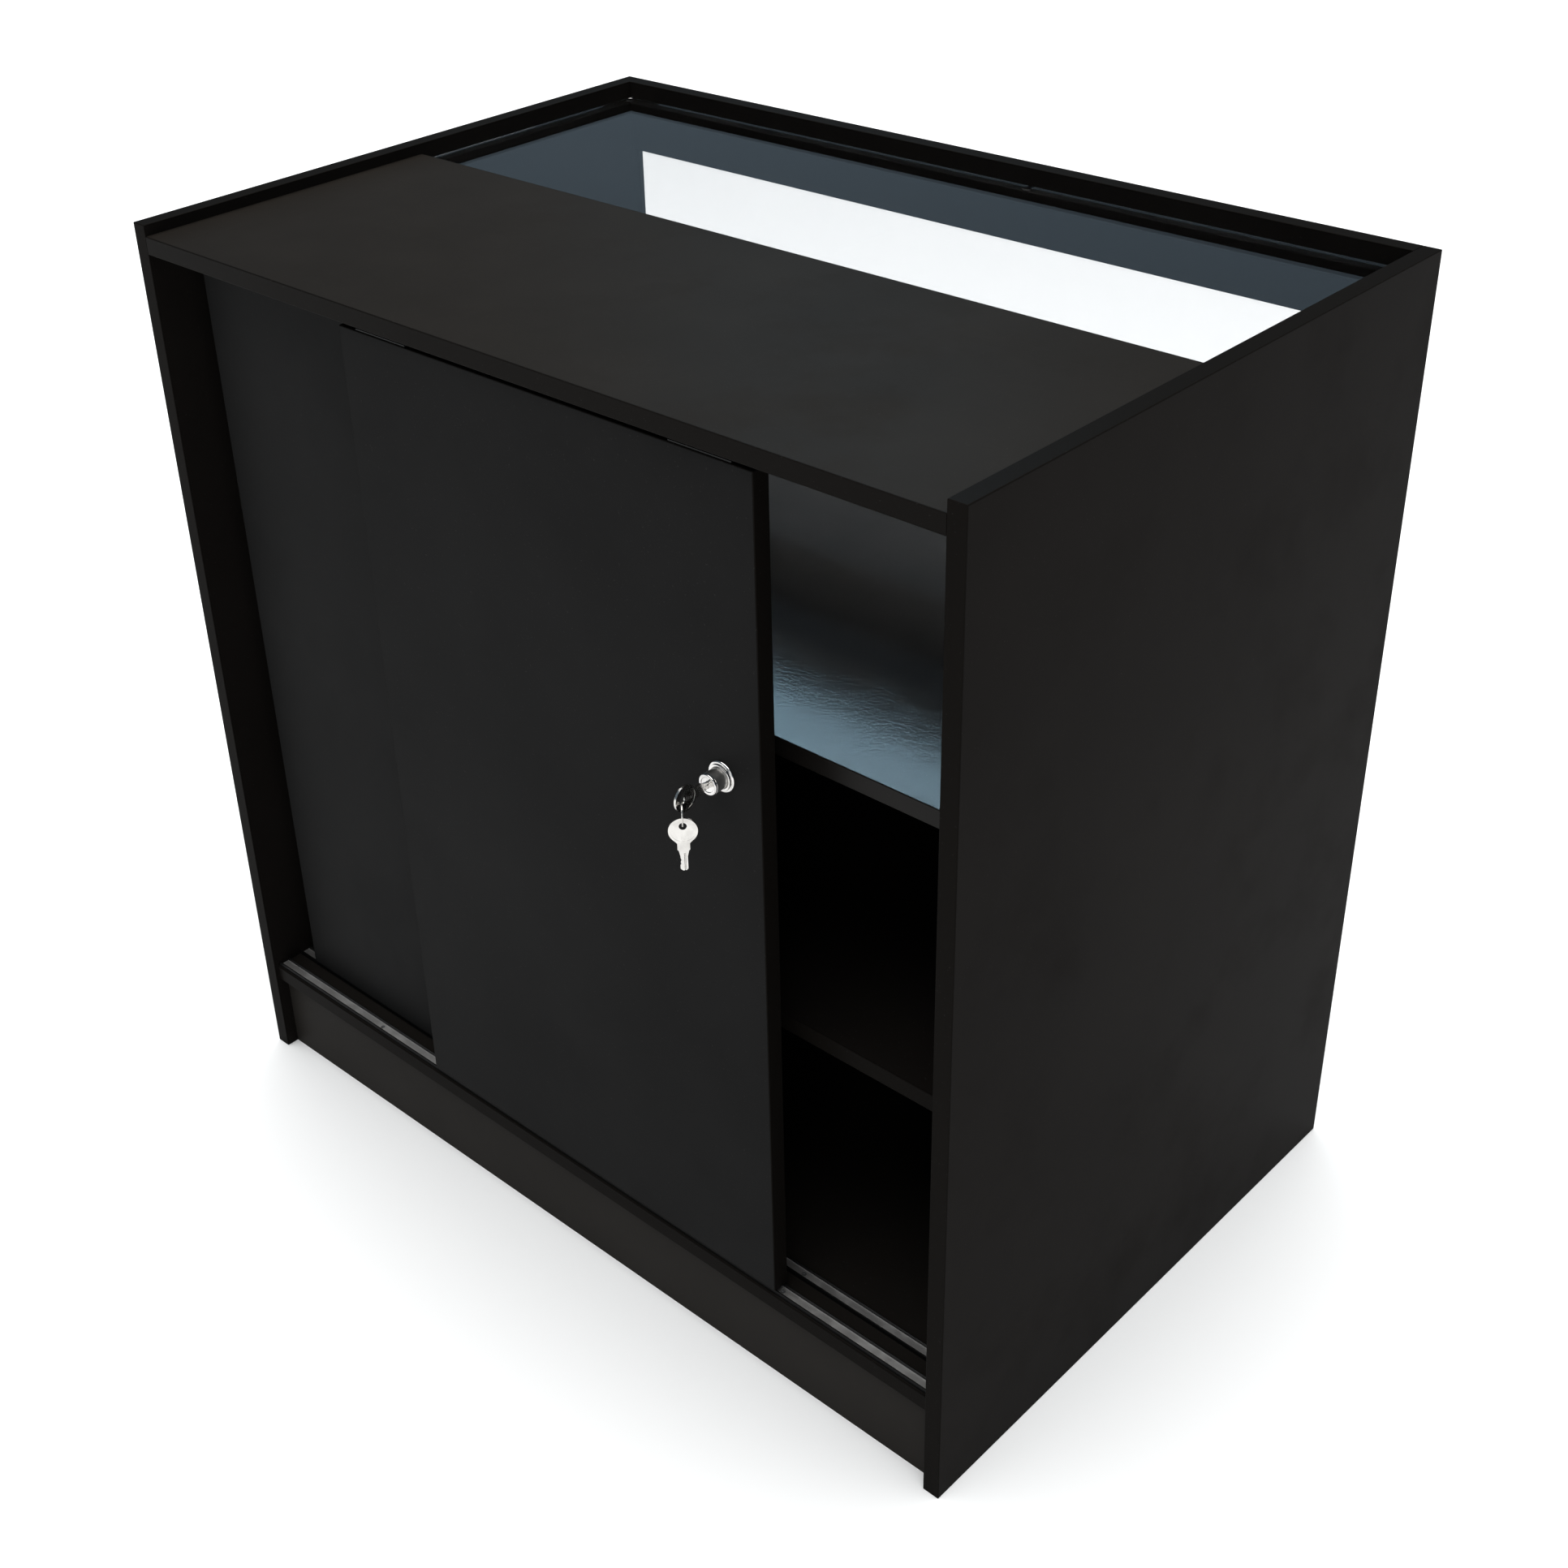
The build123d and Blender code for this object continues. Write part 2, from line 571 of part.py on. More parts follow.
for door_name, line in door_line.items():
    left = door_left[door_name]
    face = line - board / 2
    with BuildPart() as door_panel:
        block((left, left + door_width), (face, face + board), (door_bottom, door_top))
        fillet(door_panel.edges(), arris)
        # Mortises and flange rebates for the roller housings
        for x in roller_places(door_name).values():
            half = housing_length / 2 + mortise_clearance
            edge = housing_width / 2 + mortise_clearance
            mortise = (door_bottom, door_bottom + housing_height + mortise_clearance)
            block((x - half, x + half), (line - edge, line + edge), mortise, Mode.SUBTRACT)
            half = housing_flange_length / 2 + mortise_clearance
            edge = housing_flange_width / 2 + mortise_clearance
            rebate = (door_bottom, door_bottom + housing_flange_height)
            block((x - half, x + half), (line - edge, line + edge), rebate, Mode.SUBTRACT)
        # Pilots for the top guides' screws
        pilot_z = door_top - guide_screw_length / 2
        pilots = [
            (x + shift * guide_screw_pitch / 2, line, pilot_z)
            for x in guide_places(door_name).values()
            for shift in (-1, 1)
        ]
        pilot_radius = guide_screw_shank_radius + shelf_pin_clearance
        rods(pilots, pilot_radius, guide_screw_length, ALONG_Z, Mode.SUBTRACT)
        if door_name == "near":
            hole = [(lock_x, line, lock_height)]
            rods(hole, barrel_radius + barrel_clearance, board, ALONG_Y, Mode.SUBTRACT)
        else:
            strike_x = left + door_width - lock_inset
            hole = [(strike_x, line, lock_height)]
            strike_outer = strike_radius + strike_wall
            rods(hole, strike_outer + barrel_clearance, board, ALONG_Y, Mode.SUBTRACT)
    save(door_panel, f"{door_name}_door_panel")

    for place, x in roller_places(door_name).items():
        with BuildPart() as housing:
            half, edge = housing_length / 2, housing_width / 2
            body = (door_bottom, door_bottom + housing_height)
            block((x - half, x + half), (line - edge, line + edge), body)
            half, edge = housing_flange_length / 2, housing_flange_width / 2
            flange = (door_bottom, door_bottom + housing_flange_height)
            block((x - half, x + half), (line - edge, line + edge), flange)
            fillet(housing.edges().filter_by(Axis.Z).group_by(Axis.X)[-1], 2)
            fillet(housing.edges().filter_by(Axis.Z).group_by(Axis.X)[0], 2)
            # Slot that the roller runs in
            half = roller_radius + housing_slot_gap
            edge = roller_width / 2 + roller_hub_gap
            slot = (door_bottom, roller_z + roller_radius + housing_slot_gap)
            block((x - half, x + half), (line - edge, line + edge), slot, Mode.SUBTRACT)
            bore = [(x, line, roller_z)]
            rods(bore, axle_radius + axle_fit, housing_flange_width, ALONG_Y, Mode.SUBTRACT)
        save(housing, f"{door_name}_{place}_roller_housing")

        with BuildPart() as roller:
            with BuildSketch(Plane.XY.offset(roller_z)):
                with Locations((x + (roller_radius + axle_radius + axle_fit) / 2, line)):
                    Rectangle(roller_radius - axle_radius - axle_fit, roller_width)
                # Round-bottomed groove in the tread
                with Locations((x + roller_radius, line)):
                    Circle(roller_groove_radius, mode=Mode.SUBTRACT)
            revolve(axis=Axis((x, line, roller_z), (0, 1, 0)))
            # Lightening rings in both faces
            ring_outer, ring_inner, ring_depth = roller_radius - 2.5, axle_radius + 2.0, 0.8
            for cheek in (-1, 1):
                cheek_y = line + cheek * (roller_width - ring_depth) / 2
                with Locations((x, cheek_y, roller_z)):
                    Cylinder(ring_outer, ring_depth, rotation=ALONG_Y, mode=Mode.SUBTRACT)
                    Cylinder(ring_inner, ring_depth, rotation=ALONG_Y)
            rods([(x, line, roller_z)], axle_radius + axle_fit, roller_width, ALONG_Y, Mode.SUBTRACT)
        save(roller, f"{door_name}_{place}_roller")

        guide_x = guide_places(door_name)[place]
        with BuildPart() as top_guide:
            half, edge = guide_plate_length / 2, guide_plate_width / 2
            plate = (door_top, door_top + guide_plate_height)
            block((guide_x - half, guide_x + half), (line - edge, line + edge), plate)
            half, edge = guide_fin_length / 2, guide_fin_width / 2
            fin = (plate[1], plate[1] + guide_fin_height)
            block((guide_x - half, guide_x + half), (line - edge, line + edge), fin)
            fillet(top_guide.edges().group_by(Axis.Z)[-1], 0.8)
            holes = [
                (guide_x + shift * guide_screw_pitch / 2, line, door_top + guide_plate_height / 2)
                for shift in (-1, 1)
            ]
            hole_radius = guide_screw_shank_radius + cam_clearance
            rods(holes, hole_radius, guide_plate_height, ALONG_Z, Mode.SUBTRACT)
        save(top_guide, f"{door_name}_{place}_top_guide")

    with BuildPart() as axles:
        centres = [(x, line, roller_z) for x in roller_places(door_name).values()]
        rods(centres, axle_radius, housing_width, ALONG_Y)
    save(axles, f"{door_name}_roller_axles")

    with BuildPart() as guide_screws:
        screw_x = [
            x + shift * guide_screw_pitch / 2
            for x in guide_places(door_name).values()
            for shift in (-1, 1)
        ]
        plate_top = door_top + guide_plate_height
        head_z = plate_top + guide_screw_head_height / 2
        heads = [(x, line, head_z) for x in screw_x]
        rods(heads, guide_screw_head_radius, guide_screw_head_height, ALONG_Z)
        fillet(guide_screws.edges().group_by(Axis.Z)[-1], 0.7)
        shank = guide_screw_length + guide_plate_height
        shanks = [(x, line, plate_top - shank / 2) for x in screw_x]
        rods(shanks, guide_screw_shank_radius, shank, ALONG_Z)
    save(guide_screws, f"{door_name}_guide_screws")

# Bush in the far door, which takes the bolt when both doors stand one behind the other
with BuildPart() as strike_bush:
    strike_x = door_left["far"] + door_width - lock_inset
    with BuildSketch(lock_plane):
        with BuildLine():
            outer, inner = strike_x + strike_radius + strike_wall, strike_x + strike_radius
            Polyline(
                (inner, far_face - strike_flange_height),
                (strike_x + strike_flange_radius, far_face - strike_flange_height),
                (strike_x + strike_flange_radius, far_face),
                (outer, far_face),
                (outer, far_face + board),
                (inner, far_face + board),
                close=True,
            )
        make_face()
    revolve(axis=Axis((strike_x, 0, lock_height), (0, 1, 0)))
save(strike_bush, "strike_bush")

# ---------------------------------------------------------------- push lock

with BuildPart() as lock_housing:
    with BuildSketch(lock_plane):
        with BuildLine():
            bore = lock_x + plunger_radius + lock_fit
            back_hole = lock_x + bolt_radius + lock_fit
            rim = lock_x + rosette_radius
            collar = lock_x + rosette_collar_radius
            barrel = lock_x + barrel_radius
            rosette_front = near_face - rosette_height
            Polyline(
                (bore, rosette_front),
                (collar - 0.6, rosette_front),
                (collar, rosette_front + 0.6),
                (collar, near_face - rosette_rim),
                (rim - 1.2, near_face - rosette_rim),
                (rim, near_face - rosette_rim + 1.2),
                (rim, near_face),
                (barrel, near_face),
                (barrel, barrel_back),
                (back_hole, barrel_back),
                (back_hole, barrel_back - barrel_back_wall),
                (bore, barrel_back - barrel_back_wall),
                close=True,
            )
        make_face()
    revolve(axis=lock_axis)
save(lock_housing, "lock_housing")

with BuildPart() as lock_nut:
    with BuildSketch(Plane.XZ.offset(-(near_face + board))):
        with Locations((lock_x, lock_height)):
            RegularPolygon(nut_across_flats / 2, 6, major_radius=False)
            Circle(barrel_radius + nut_clearance, mode=Mode.SUBTRACT)
    extrude(amount=-nut_height)
save(lock_nut, "lock_nut")

with BuildPart() as lock_plunger:
    with BuildSketch(lock_plane):
        with BuildLine():
            body_front = plunger_front + bezel_height
            skin = lock_x + plunger_radius
            shaft = lock_x + bolt_radius
            core_bore = lock_x + core_radius + lock_fit
            core_pocket = core_back + core_end_gap
            Polyline(
                (core_bore, body_front),
                (skin, body_front),
                (skin, plunger_back),
                (shaft, plunger_back),
                (shaft, bolt_tip - 1),
                (shaft - 1, bolt_tip),
                (lock_x, bolt_tip),
                (lock_x, core_pocket),
                (core_bore, core_pocket),
                close=True,
            )
        make_face()
    revolve(axis=lock_axis)
save(lock_plunger, "lock_plunger")

with BuildPart() as plunger_bezel:
    with BuildSketch(lock_plane):
        with BuildLine():
            skin = lock_x + plunger_radius
            core_bore = lock_x + core_radius + lock_fit
            Polyline(
                (core_bore + 0.6, plunger_front),
                (skin - 0.9, plunger_front),
                (skin, plunger_front + 0.9),
                (skin, plunger_front + bezel_height),
                (core_bore, plunger_front + bezel_height),
                (core_bore, plunger_front + 0.6),
                close=True,
            )
        make_face()
    revolve(axis=lock_axis)
save(plunger_bezel, "plunger_bezel")

with BuildPart() as plunger_spring:
    spring_front = plunger_back + spring_wire_radius + roller_rise
    spring_back = barrel_back - barrel_back_wall - spring_wire_radius - roller_rise
    spring_length = spring_back - spring_front
    coil = Helix(
        pitch=spring_length / spring_turns,
        height=spring_length,
        radius=spring_radius,
        center=(lock_x, spring_front, lock_height),
        direction=(0, 1, 0),
        mode=Mode.PRIVATE,
    )
    with BuildSketch(coil ^ 0):
        Circle(spring_wire_radius)
    sweep(path=coil)
save(plunger_spring, "plunger_spring")

with BuildPart() as lock_core:
    rods([(lock_x, core_front + core_length / 2, lock_height)], core_radius, core_length, ALONG_Y)
    slot_x = key_thickness / 2 + key_slot_clearance
    slot_z = key_blade_width / 2 + key_slot_clearance
    block(
        (lock_x - slot_x, lock_x + slot_x),
        (core_front, key_tip + joint_end_gap),
        (lock_height - slot_z, lock_height + slot_z),
        Mode.SUBTRACT,
    )
save(lock_core, "lock_core")

# ---------------------------------------------------------------- keys and ring

# A key is drawn in its own plane: along u from its tip to the head's far edge, with v across it.
head_u = key_length - key_head_radius
neck_end_u = key_length - 2 * key_head_radius
neck_start_u = neck_end_u - key_neck_length
hole_u = key_length - key_hole_inset


def key_plate(plane):
    """One flat key in the active part, cut from sheet lying in the given plane."""
    half_blade, half_neck = key_blade_width / 2, key_neck_width / 2
    shoulder_u, shoulder_v = head_u - key_head_radius * 0.72, key_head_radius * 0.69
    with BuildSketch(plane, mode=Mode.PRIVATE) as outline:
        with BuildLine():
            Polyline(
                (0, 0),
                (0, 1.2),
                (1.6, half_blade),
                (5.0, half_blade),
                (6.2, half_blade - 0.7),
                (7.6, half_blade - 0.2),
                (9.4, half_blade - 0.9),
                (11.2, half_blade - 0.3),
                (12.4, half_blade - 0.3),
                (neck_start_u + 2.5, half_neck - 0.9),
                (neck_start_u + 3.5, half_neck),
                (neck_end_u, half_neck),
                (shoulder_u, shoulder_v),
                (shoulder_u, -shoulder_v),
                (neck_end_u, -half_neck),
                (neck_start_u + 3.5, -half_neck),
                (neck_start_u + 2.5, -half_neck + 0.9),
                (12.4, -half_blade + 0.3),
                (1.6, -half_blade),
                (0, -1.2),
                close=True,
            )
        make_face()
        with Locations((head_u, 0)):
            Circle(key_head_radius)
        with Locations((hole_u, 0)):
            Circle(key_hole_radius, mode=Mode.SUBTRACT)
    extrude(outline.sketch, amount=key_thickness / 2, both=True)


with BuildPart() as key:
    key_plate(Plane((lock_x, key_tip, lock_height), x_dir=(0, -1, 0), z_dir=(1, 0, 0)))
save(key, "key")

# The ring's plane stands upright, turned from the door's plane about Z by the ring's yaw.
ring_along = Vector(cos(ring_turn), -sin(ring_turn), 0)
ring_normal = Vector(sin(ring_turn), cos(ring_turn), 0)

with BuildPart() as key_ring:
    ring_middle = (lock_x, key_hole_y, ring_top_z - ring_radius)
    with Locations(Plane(ring_middle, x_dir=ring_along, z_dir=ring_normal)):
        Torus(ring_radius, ring_wire_radius)
save(key_ring, "key_ring")

with BuildPart() as spare_key:
    spare_tip_z = spare_hole_z - (key_length - key_hole_inset)
    key_plate(Plane((lock_x, key_hole_y, spare_tip_z), x_dir=(0, 0, 1), z_dir=ring_along))
save(spare_key, "spare_key")

print("staff edge and customer face at Y", round(staff_edge, 3), round(customer_face, 3))
print("doors run along Y", {name: round(line, 3) for name, line in door_line.items()})
for door_name, parked in (("near", near_door_parked), ("far", far_door_parked)):
    print(door_name, "door slides", -parked, "to", opening - door_width - parked)
    print(door_name, "rollers at X", roller_places(door_name), "Z", roller_z)
print("lock axis at X", lock_x, "Z", lock_height, "near face Y", round(near_face, 3))
print("ring hangs from Y", round(key_hole_y, 3), "Z", ring_top_z, "spare from Z", ring_bottom_z)
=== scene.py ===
# %% [markdown]
# # A shop display counter in black board
#
# The real object is a floor-standing counter made of black melamine-faced chipboard. Half of its top is
# a board and half is a pane of glass, and the glass looks down into a showcase. The staff side closes
# with two doors that slide past each other, and a push lock in the nearer door holds them.
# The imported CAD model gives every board, track, roller and lock part at its real size. This lesson
# gives those boards their finishes, and models the small metal pieces that are worth a closer look.

# %% Load the CAD model as a fixed frame
import math

import bmesh
import bpy
from mathutils import Matrix, Vector


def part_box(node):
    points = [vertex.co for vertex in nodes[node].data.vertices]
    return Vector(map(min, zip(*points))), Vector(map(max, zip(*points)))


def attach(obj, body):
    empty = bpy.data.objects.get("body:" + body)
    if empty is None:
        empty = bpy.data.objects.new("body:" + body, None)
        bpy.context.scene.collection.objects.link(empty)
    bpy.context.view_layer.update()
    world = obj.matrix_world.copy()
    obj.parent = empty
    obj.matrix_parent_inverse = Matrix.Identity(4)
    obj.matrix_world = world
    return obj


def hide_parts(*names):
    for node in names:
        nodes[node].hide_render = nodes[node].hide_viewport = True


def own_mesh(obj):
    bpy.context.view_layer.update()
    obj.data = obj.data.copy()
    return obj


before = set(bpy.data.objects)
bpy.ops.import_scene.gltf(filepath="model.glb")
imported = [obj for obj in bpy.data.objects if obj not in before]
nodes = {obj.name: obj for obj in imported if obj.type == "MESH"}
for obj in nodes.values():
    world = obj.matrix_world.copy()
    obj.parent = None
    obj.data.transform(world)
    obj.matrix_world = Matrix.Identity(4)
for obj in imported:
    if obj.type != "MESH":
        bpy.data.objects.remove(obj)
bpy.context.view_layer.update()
MM = 0.001

# %% [markdown]
# ## The camera
#
# The counter is seen from the staff side, from the right and from above, at about standing eye height.
# Its place is measured from the right side panel, so that it follows the model and not the world.
# The lens is a little longer than normal, and a small shift puts the counter where it stands in the
# frame. A shift keeps upright edges as they are, which turning the camera wouldn't.

# %% Make the camera
side_low, side_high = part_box("right_side_panel")
camera_data = bpy.data.cameras.new("counter_camera")
camera_data.lens, camera_data.sensor_width = 48.93, 36.0
camera_data.shift_x, camera_data.shift_y = 0.0454, -0.0323
camera = bpy.data.objects.new("counter_camera", camera_data)
bpy.context.scene.collection.objects.link(camera)

right = Vector((0.7252, 0.6877, -0.0347))
up = Vector((-0.3351, 0.3966, 0.8546))
back = Vector((0.6015, -0.6081, 0.5181))
turn = Matrix((right, up, back)).transposed().to_quaternion().normalized()
camera.rotation_mode = "QUATERNION"
camera.rotation_quaternion = turn
camera.location = (side_high.x + 0.7103, side_low.y - 0.9454, side_low.z + 1.4559)
bpy.context.scene.camera = camera
print("camera at", [round(v, 3) for v in camera.location])

# %% [markdown]
# ## The floor
#
# Black board shows its shape only by what it reflects, so all the light here is large and soft. The
# floor is one plane, pale and very wide, so that it reaches the horizon.

# %% Lay the floor
FLOOR_WIDTH = 60.0
bpy.ops.object.select_all(action="DESELECT")
bpy.ops.mesh.primitive_plane_add(size=FLOOR_WIDTH, location=(0.0, 0.0, 0.0))
floor = bpy.context.object
floor.name = "studio_floor"

floor_material = bpy.data.materials.new("pale_floor")
floor_material.use_nodes = True
floor_bsdf = floor_material.node_tree.nodes["Principled BSDF"]
floor_bsdf.inputs["Base Color"].default_value = (0.93, 0.93, 0.93, 1.0)
floor_bsdf.inputs["Roughness"].default_value = 0.9
floor_bsdf.inputs["Specular IOR Level"].default_value = 0.1
floor.data.materials.append(floor_material)
print("floor:", FLOOR_WIDTH, "m wide")

# %% [markdown]
# ## The sky
#
# A dim cool sky fills the shadows and gives the glass its veil. Seen directly it would look like a grey
# wall, so the world holds two backgrounds. The Light Path node gives the camera the white one and
# everything else the cool one.

# %% A dim cool sky behind a pale backdrop
world = bpy.data.worlds.new("soft_sky")
bpy.context.scene.world = world
world.use_nodes = True
sky = world.node_tree
sky.nodes["Background"].inputs["Color"].default_value = (0.62, 0.82, 1.0, 1.0)
sky.nodes["Background"].inputs["Strength"].default_value = 0.19
pale = sky.nodes.new("ShaderNodeBackground")
pale.inputs["Color"].default_value = (1.0, 1.0, 1.0, 1.0)
rays = sky.nodes.new("ShaderNodeLightPath")
choice = sky.nodes.new("ShaderNodeMixShader")
sky.links.new(rays.outputs["Is Camera Ray"], choice.inputs["Fac"])
sky.links.new(sky.nodes["Background"].outputs["Background"], choice.inputs[1])
sky.links.new(pale.outputs["Background"], choice.inputs[2])
sky.links.new(choice.outputs["Shader"], sky.nodes["World Output"].inputs["Surface"])
print("world:", world.name)

# %% [markdown]
# ## The lamps
#
# A broad ceiling light straight above makes the floor white without shining on the upright boards. It
# is a sun lamp with a very wide angle, because that lights the whole floor evenly. A blue window light
# stands high beyond the customer side, where the showcase's glossy floor mirrors its lower edge. A lamp
# beside the staff side brings out the lock and the keys.

# %% Hang the lamps
def hang_lamp(name, kind, place, aim, power, colour):
    """A lamp of a kind, hung at a place and turned to face a point."""
    data = bpy.data.lights.new(name, kind)
    data.energy = power
    data.color = colour
    lamp = bpy.data.objects.new(name, data)
    bpy.context.scene.collection.objects.link(lamp)
    lamp.location = place
    lamp.rotation_mode = "QUATERNION"
    lamp.rotation_quaternion = (Vector(aim) - Vector(place)).to_track_quat("-Z", "Y")
    return lamp


WARM_WHITE, LAMP_WHITE, SKY_BLUE = (1.0, 0.985, 0.965), (1.0, 0.98, 0.95), (0.50, 0.80, 1.0)
ceiling = hang_lamp("ceiling_light", "SUN", (0.0, 0.0, 5.0), (0.0, 0.0, 0.0), 4.4, WARM_WHITE)
ceiling.data.angle = math.radians(70.0)

window = hang_lamp("window_light", "AREA", (-2.3, 2.84, 3.18), (-2.3, 1.84, 3.18), 17.0, SKY_BLUE)
window.data.shape = "RECTANGLE"
window.data.size, window.data.size_y = 1.3, 0.38

beside = hang_lamp("staff_light", "AREA", (2.6, -3.4, 2.2), (0.1, 0.0, 0.5), 20.0, LAMP_WHITE)
beside.data.size = 1.6
bpy.context.scene.view_settings.view_transform = "Standard"

# %% [markdown]
# ## Node groups that several finishes share
#
# Melamine-faced board isn't smooth: it has a fine pebbled face, as small as the pores of skin. Its cut
# edges are closed with a thin plastic tape, a little smoother than the face, with a hairline where tape
# and face meet. Hands leave faint cloudy marks. Drawn metal has fine lines along its length.
# Each of these is one group, made once. A group gives masks and heights only, and the shader that uses
# them stays in each material.

# %% A helper that opens a new group
def open_group(name, inputs, outputs):
    """A shader node group with named inputs (name, kind, default) and outputs (name, kind)."""
    group = bpy.data.node_groups.new(name, "ShaderNodeTree")
    for label, kind, value in inputs:
        socket = group.interface.new_socket(label, in_out="INPUT", socket_type="NodeSocket" + kind)
        if value is not None:
            socket.default_value = value
    for label, kind in outputs:
        group.interface.new_socket(label, in_out="OUTPUT", socket_type="NodeSocket" + kind)
    return group, group.nodes.new("NodeGroupInput"), group.nodes.new("NodeGroupOutput")


def add_node(tree, kind, **settings):
    """A node of a kind in a tree, with some of its settings."""
    node = tree.nodes.new(kind)
    for key, value in settings.items():
        setattr(node, key, value)
    return node


def noise(tree, position, scale, detail=2.0, roughness=0.5):
    """A noise texture in a tree, read at a position socket. Returns its 0 to 1 value."""
    node = add_node(tree, "ShaderNodeTexNoise")
    node.inputs["Scale"].default_value = scale
    node.inputs["Detail"].default_value = detail
    node.inputs["Roughness"].default_value = roughness
    tree.links.new(position, node.inputs["Vector"])
    return node.outputs["Fac"]


def ramp(tree, value, low, high, to_low=0.0, to_high=1.0):
    """Maps a value's span from low to high onto another span, and clamps it."""
    node = add_node(tree, "ShaderNodeMapRange")
    settings = {"From Min": low, "From Max": high, "To Min": to_low, "To Max": to_high}
    for key, number in settings.items():
        node.inputs[key].default_value = number
    tree.links.new(value, node.inputs["Value"])
    return node.outputs["Result"]


def maths(tree, operation, first, second):
    """A Math node on two values, each a socket or a number."""
    node = add_node(tree, "ShaderNodeMath", operation=operation)
    for slot_number, value in enumerate((first, second)):
        if isinstance(value, (int, float)):
            node.inputs[slot_number].default_value = value
        else:
            tree.links.new(value, node.inputs[slot_number])
    return node.outputs["Value"]


# %% The pebbled face of the board
pebble_group, entry, leave = open_group(
    "pebbled_face",
    [("Position", "Vector", None)],
    [("Height", "Float"), ("Mottle", "Float")],
)
PEBBLES_PER_METRE, RIPPLES_PER_METRE, RIPPLE_SHARE = 1400.0, 240.0, 0.6
pebbles = noise(pebble_group, entry.outputs["Position"], PEBBLES_PER_METRE, 2.0, 0.6)
ripples = noise(pebble_group, entry.outputs["Position"], RIPPLES_PER_METRE, 1.0, 0.5)
both = maths(pebble_group, "ADD", pebbles, maths(pebble_group, "MULTIPLY", ripples, RIPPLE_SHARE))
pebble_group.links.new(both, leave.inputs["Height"])
clouds = noise(pebble_group, entry.outputs["Position"], 5.0, 4.0, 0.6)
pebble_group.links.new(ramp(pebble_group, clouds, 0.3, 0.7), leave.inputs["Mottle"])
print("pebbles:", round(1000.0 / PEBBLES_PER_METRE, 2), "mm apart")

# %% The tape on the board's edges
def vector_maths(tree, operation, first, second):
    """A Vector Math node on two vector sockets."""
    node = add_node(tree, "ShaderNodeVectorMath", operation=operation)
    tree.links.new(first, node.inputs[0])
    tree.links.new(second, node.inputs[1])
    return node.outputs["Vector"]


# A side that isn't taped is put this many metres away, so that no point of the board is near it.
FAR_AWAY, TAPE_THICKNESS, HAIRLINE = 9.0, 0.9 * MM, 0.12 * MM
tape_group, entry, leave = open_group(
    "edge_tape",
    [
        ("Position", "Vector", None),
        ("Low", "Vector", (-FAR_AWAY,) * 3),
        ("High", "Vector", (FAR_AWAY,) * 3),
        ("Thickness", "Float", TAPE_THICKNESS),
    ],
    [("Tape", "Float"), ("Joint", "Float")],
)
from_low = vector_maths(tape_group, "SUBTRACT", entry.outputs["Position"], entry.outputs["Low"])
from_high = vector_maths(tape_group, "SUBTRACT", entry.outputs["High"], entry.outputs["Position"])
nearest = vector_maths(tape_group, "MINIMUM", from_low, from_high)
parts = add_node(tape_group, "ShaderNodeSeparateXYZ")
tape_group.links.new(nearest, parts.inputs["Vector"])
depth = maths(tape_group, "MINIMUM", parts.outputs["X"], parts.outputs["Y"])
depth = maths(tape_group, "MINIMUM", depth, parts.outputs["Z"])
over = maths(tape_group, "SUBTRACT", entry.outputs["Thickness"], depth)
tape_group.links.new(maths(tape_group, "GREATER_THAN", over, 0.0), leave.inputs["Tape"])
hairline = maths(tape_group, "LESS_THAN", maths(tape_group, "ABSOLUTE", over, 0.0), HAIRLINE)
tape_group.links.new(hairline, leave.inputs["Joint"])
print("tape:", round(TAPE_THICKNESS / MM, 2), "mm thick")

# %% Marks from hands and cloths
marks_group, entry, leave = open_group(
    "handling_marks",
    [("Position", "Vector", None)],
    [("Smudge", "Float"), ("Speck", "Float")],
)
cloudy = noise(marks_group, entry.outputs["Position"], 7.0, 5.0, 0.7)
marks_group.links.new(ramp(marks_group, cloudy, 0.5, 0.72), leave.inputs["Smudge"])
dust = noise(marks_group, entry.outputs["Position"], 620.0, 1.0, 0.4)
marks_group.links.new(ramp(marks_group, dust, 0.735, 0.77), leave.inputs["Speck"])
print("marks:", [item.name for item in marks_group.interface.items_tree])

# %% Fine lines along drawn or milled metal
drawn_group, entry, leave = open_group(
    "drawn_lines",
    [("Position", "Vector", None), ("Stretch", "Vector", (6.0, 2600.0, 2600.0))],
    [("Lines", "Float"), ("Scuff", "Float")],
)
stretched = vector_maths(drawn_group, "MULTIPLY", entry.outputs["Position"], entry.outputs["Stretch"])
lines = noise(drawn_group, stretched, 1.0, 3.0, 0.6)
drawn_group.links.new(lines, leave.inputs["Lines"])
scuffs = noise(drawn_group, entry.outputs["Position"], 60.0, 4.0, 0.7)
drawn_group.links.new(ramp(drawn_group, scuffs, 0.45, 0.7), leave.inputs["Scuff"])
print("node groups:", [group.name for group in bpy.data.node_groups])

# %% [markdown]
# ## Finishes
#
# Every finish starts the same way: a new material, its shader, and the position on the piece in metres.
# The object's own coordinates are used, so that a pattern has its real size and stays put when a door
# slides.

# %% Helpers that start a material
def open_material(name, colour, roughness, metallic=0.0, specular=0.5):
    """A material with a plain shader. Returns it with its tree, its shader and its position socket."""
    material = bpy.data.materials.new(name)
    material.use_nodes = True
    tree = material.node_tree
    shader = tree.nodes["Principled BSDF"]
    shader.inputs["Base Color"].default_value = (*colour, 1.0)
    shader.inputs["Roughness"].default_value = roughness
    shader.inputs["Metallic"].default_value = metallic
    shader.inputs["Specular IOR Level"].default_value = specular
    place = tree.nodes.new("ShaderNodeTexCoord")
    return material, tree, shader, place.outputs["Object"]


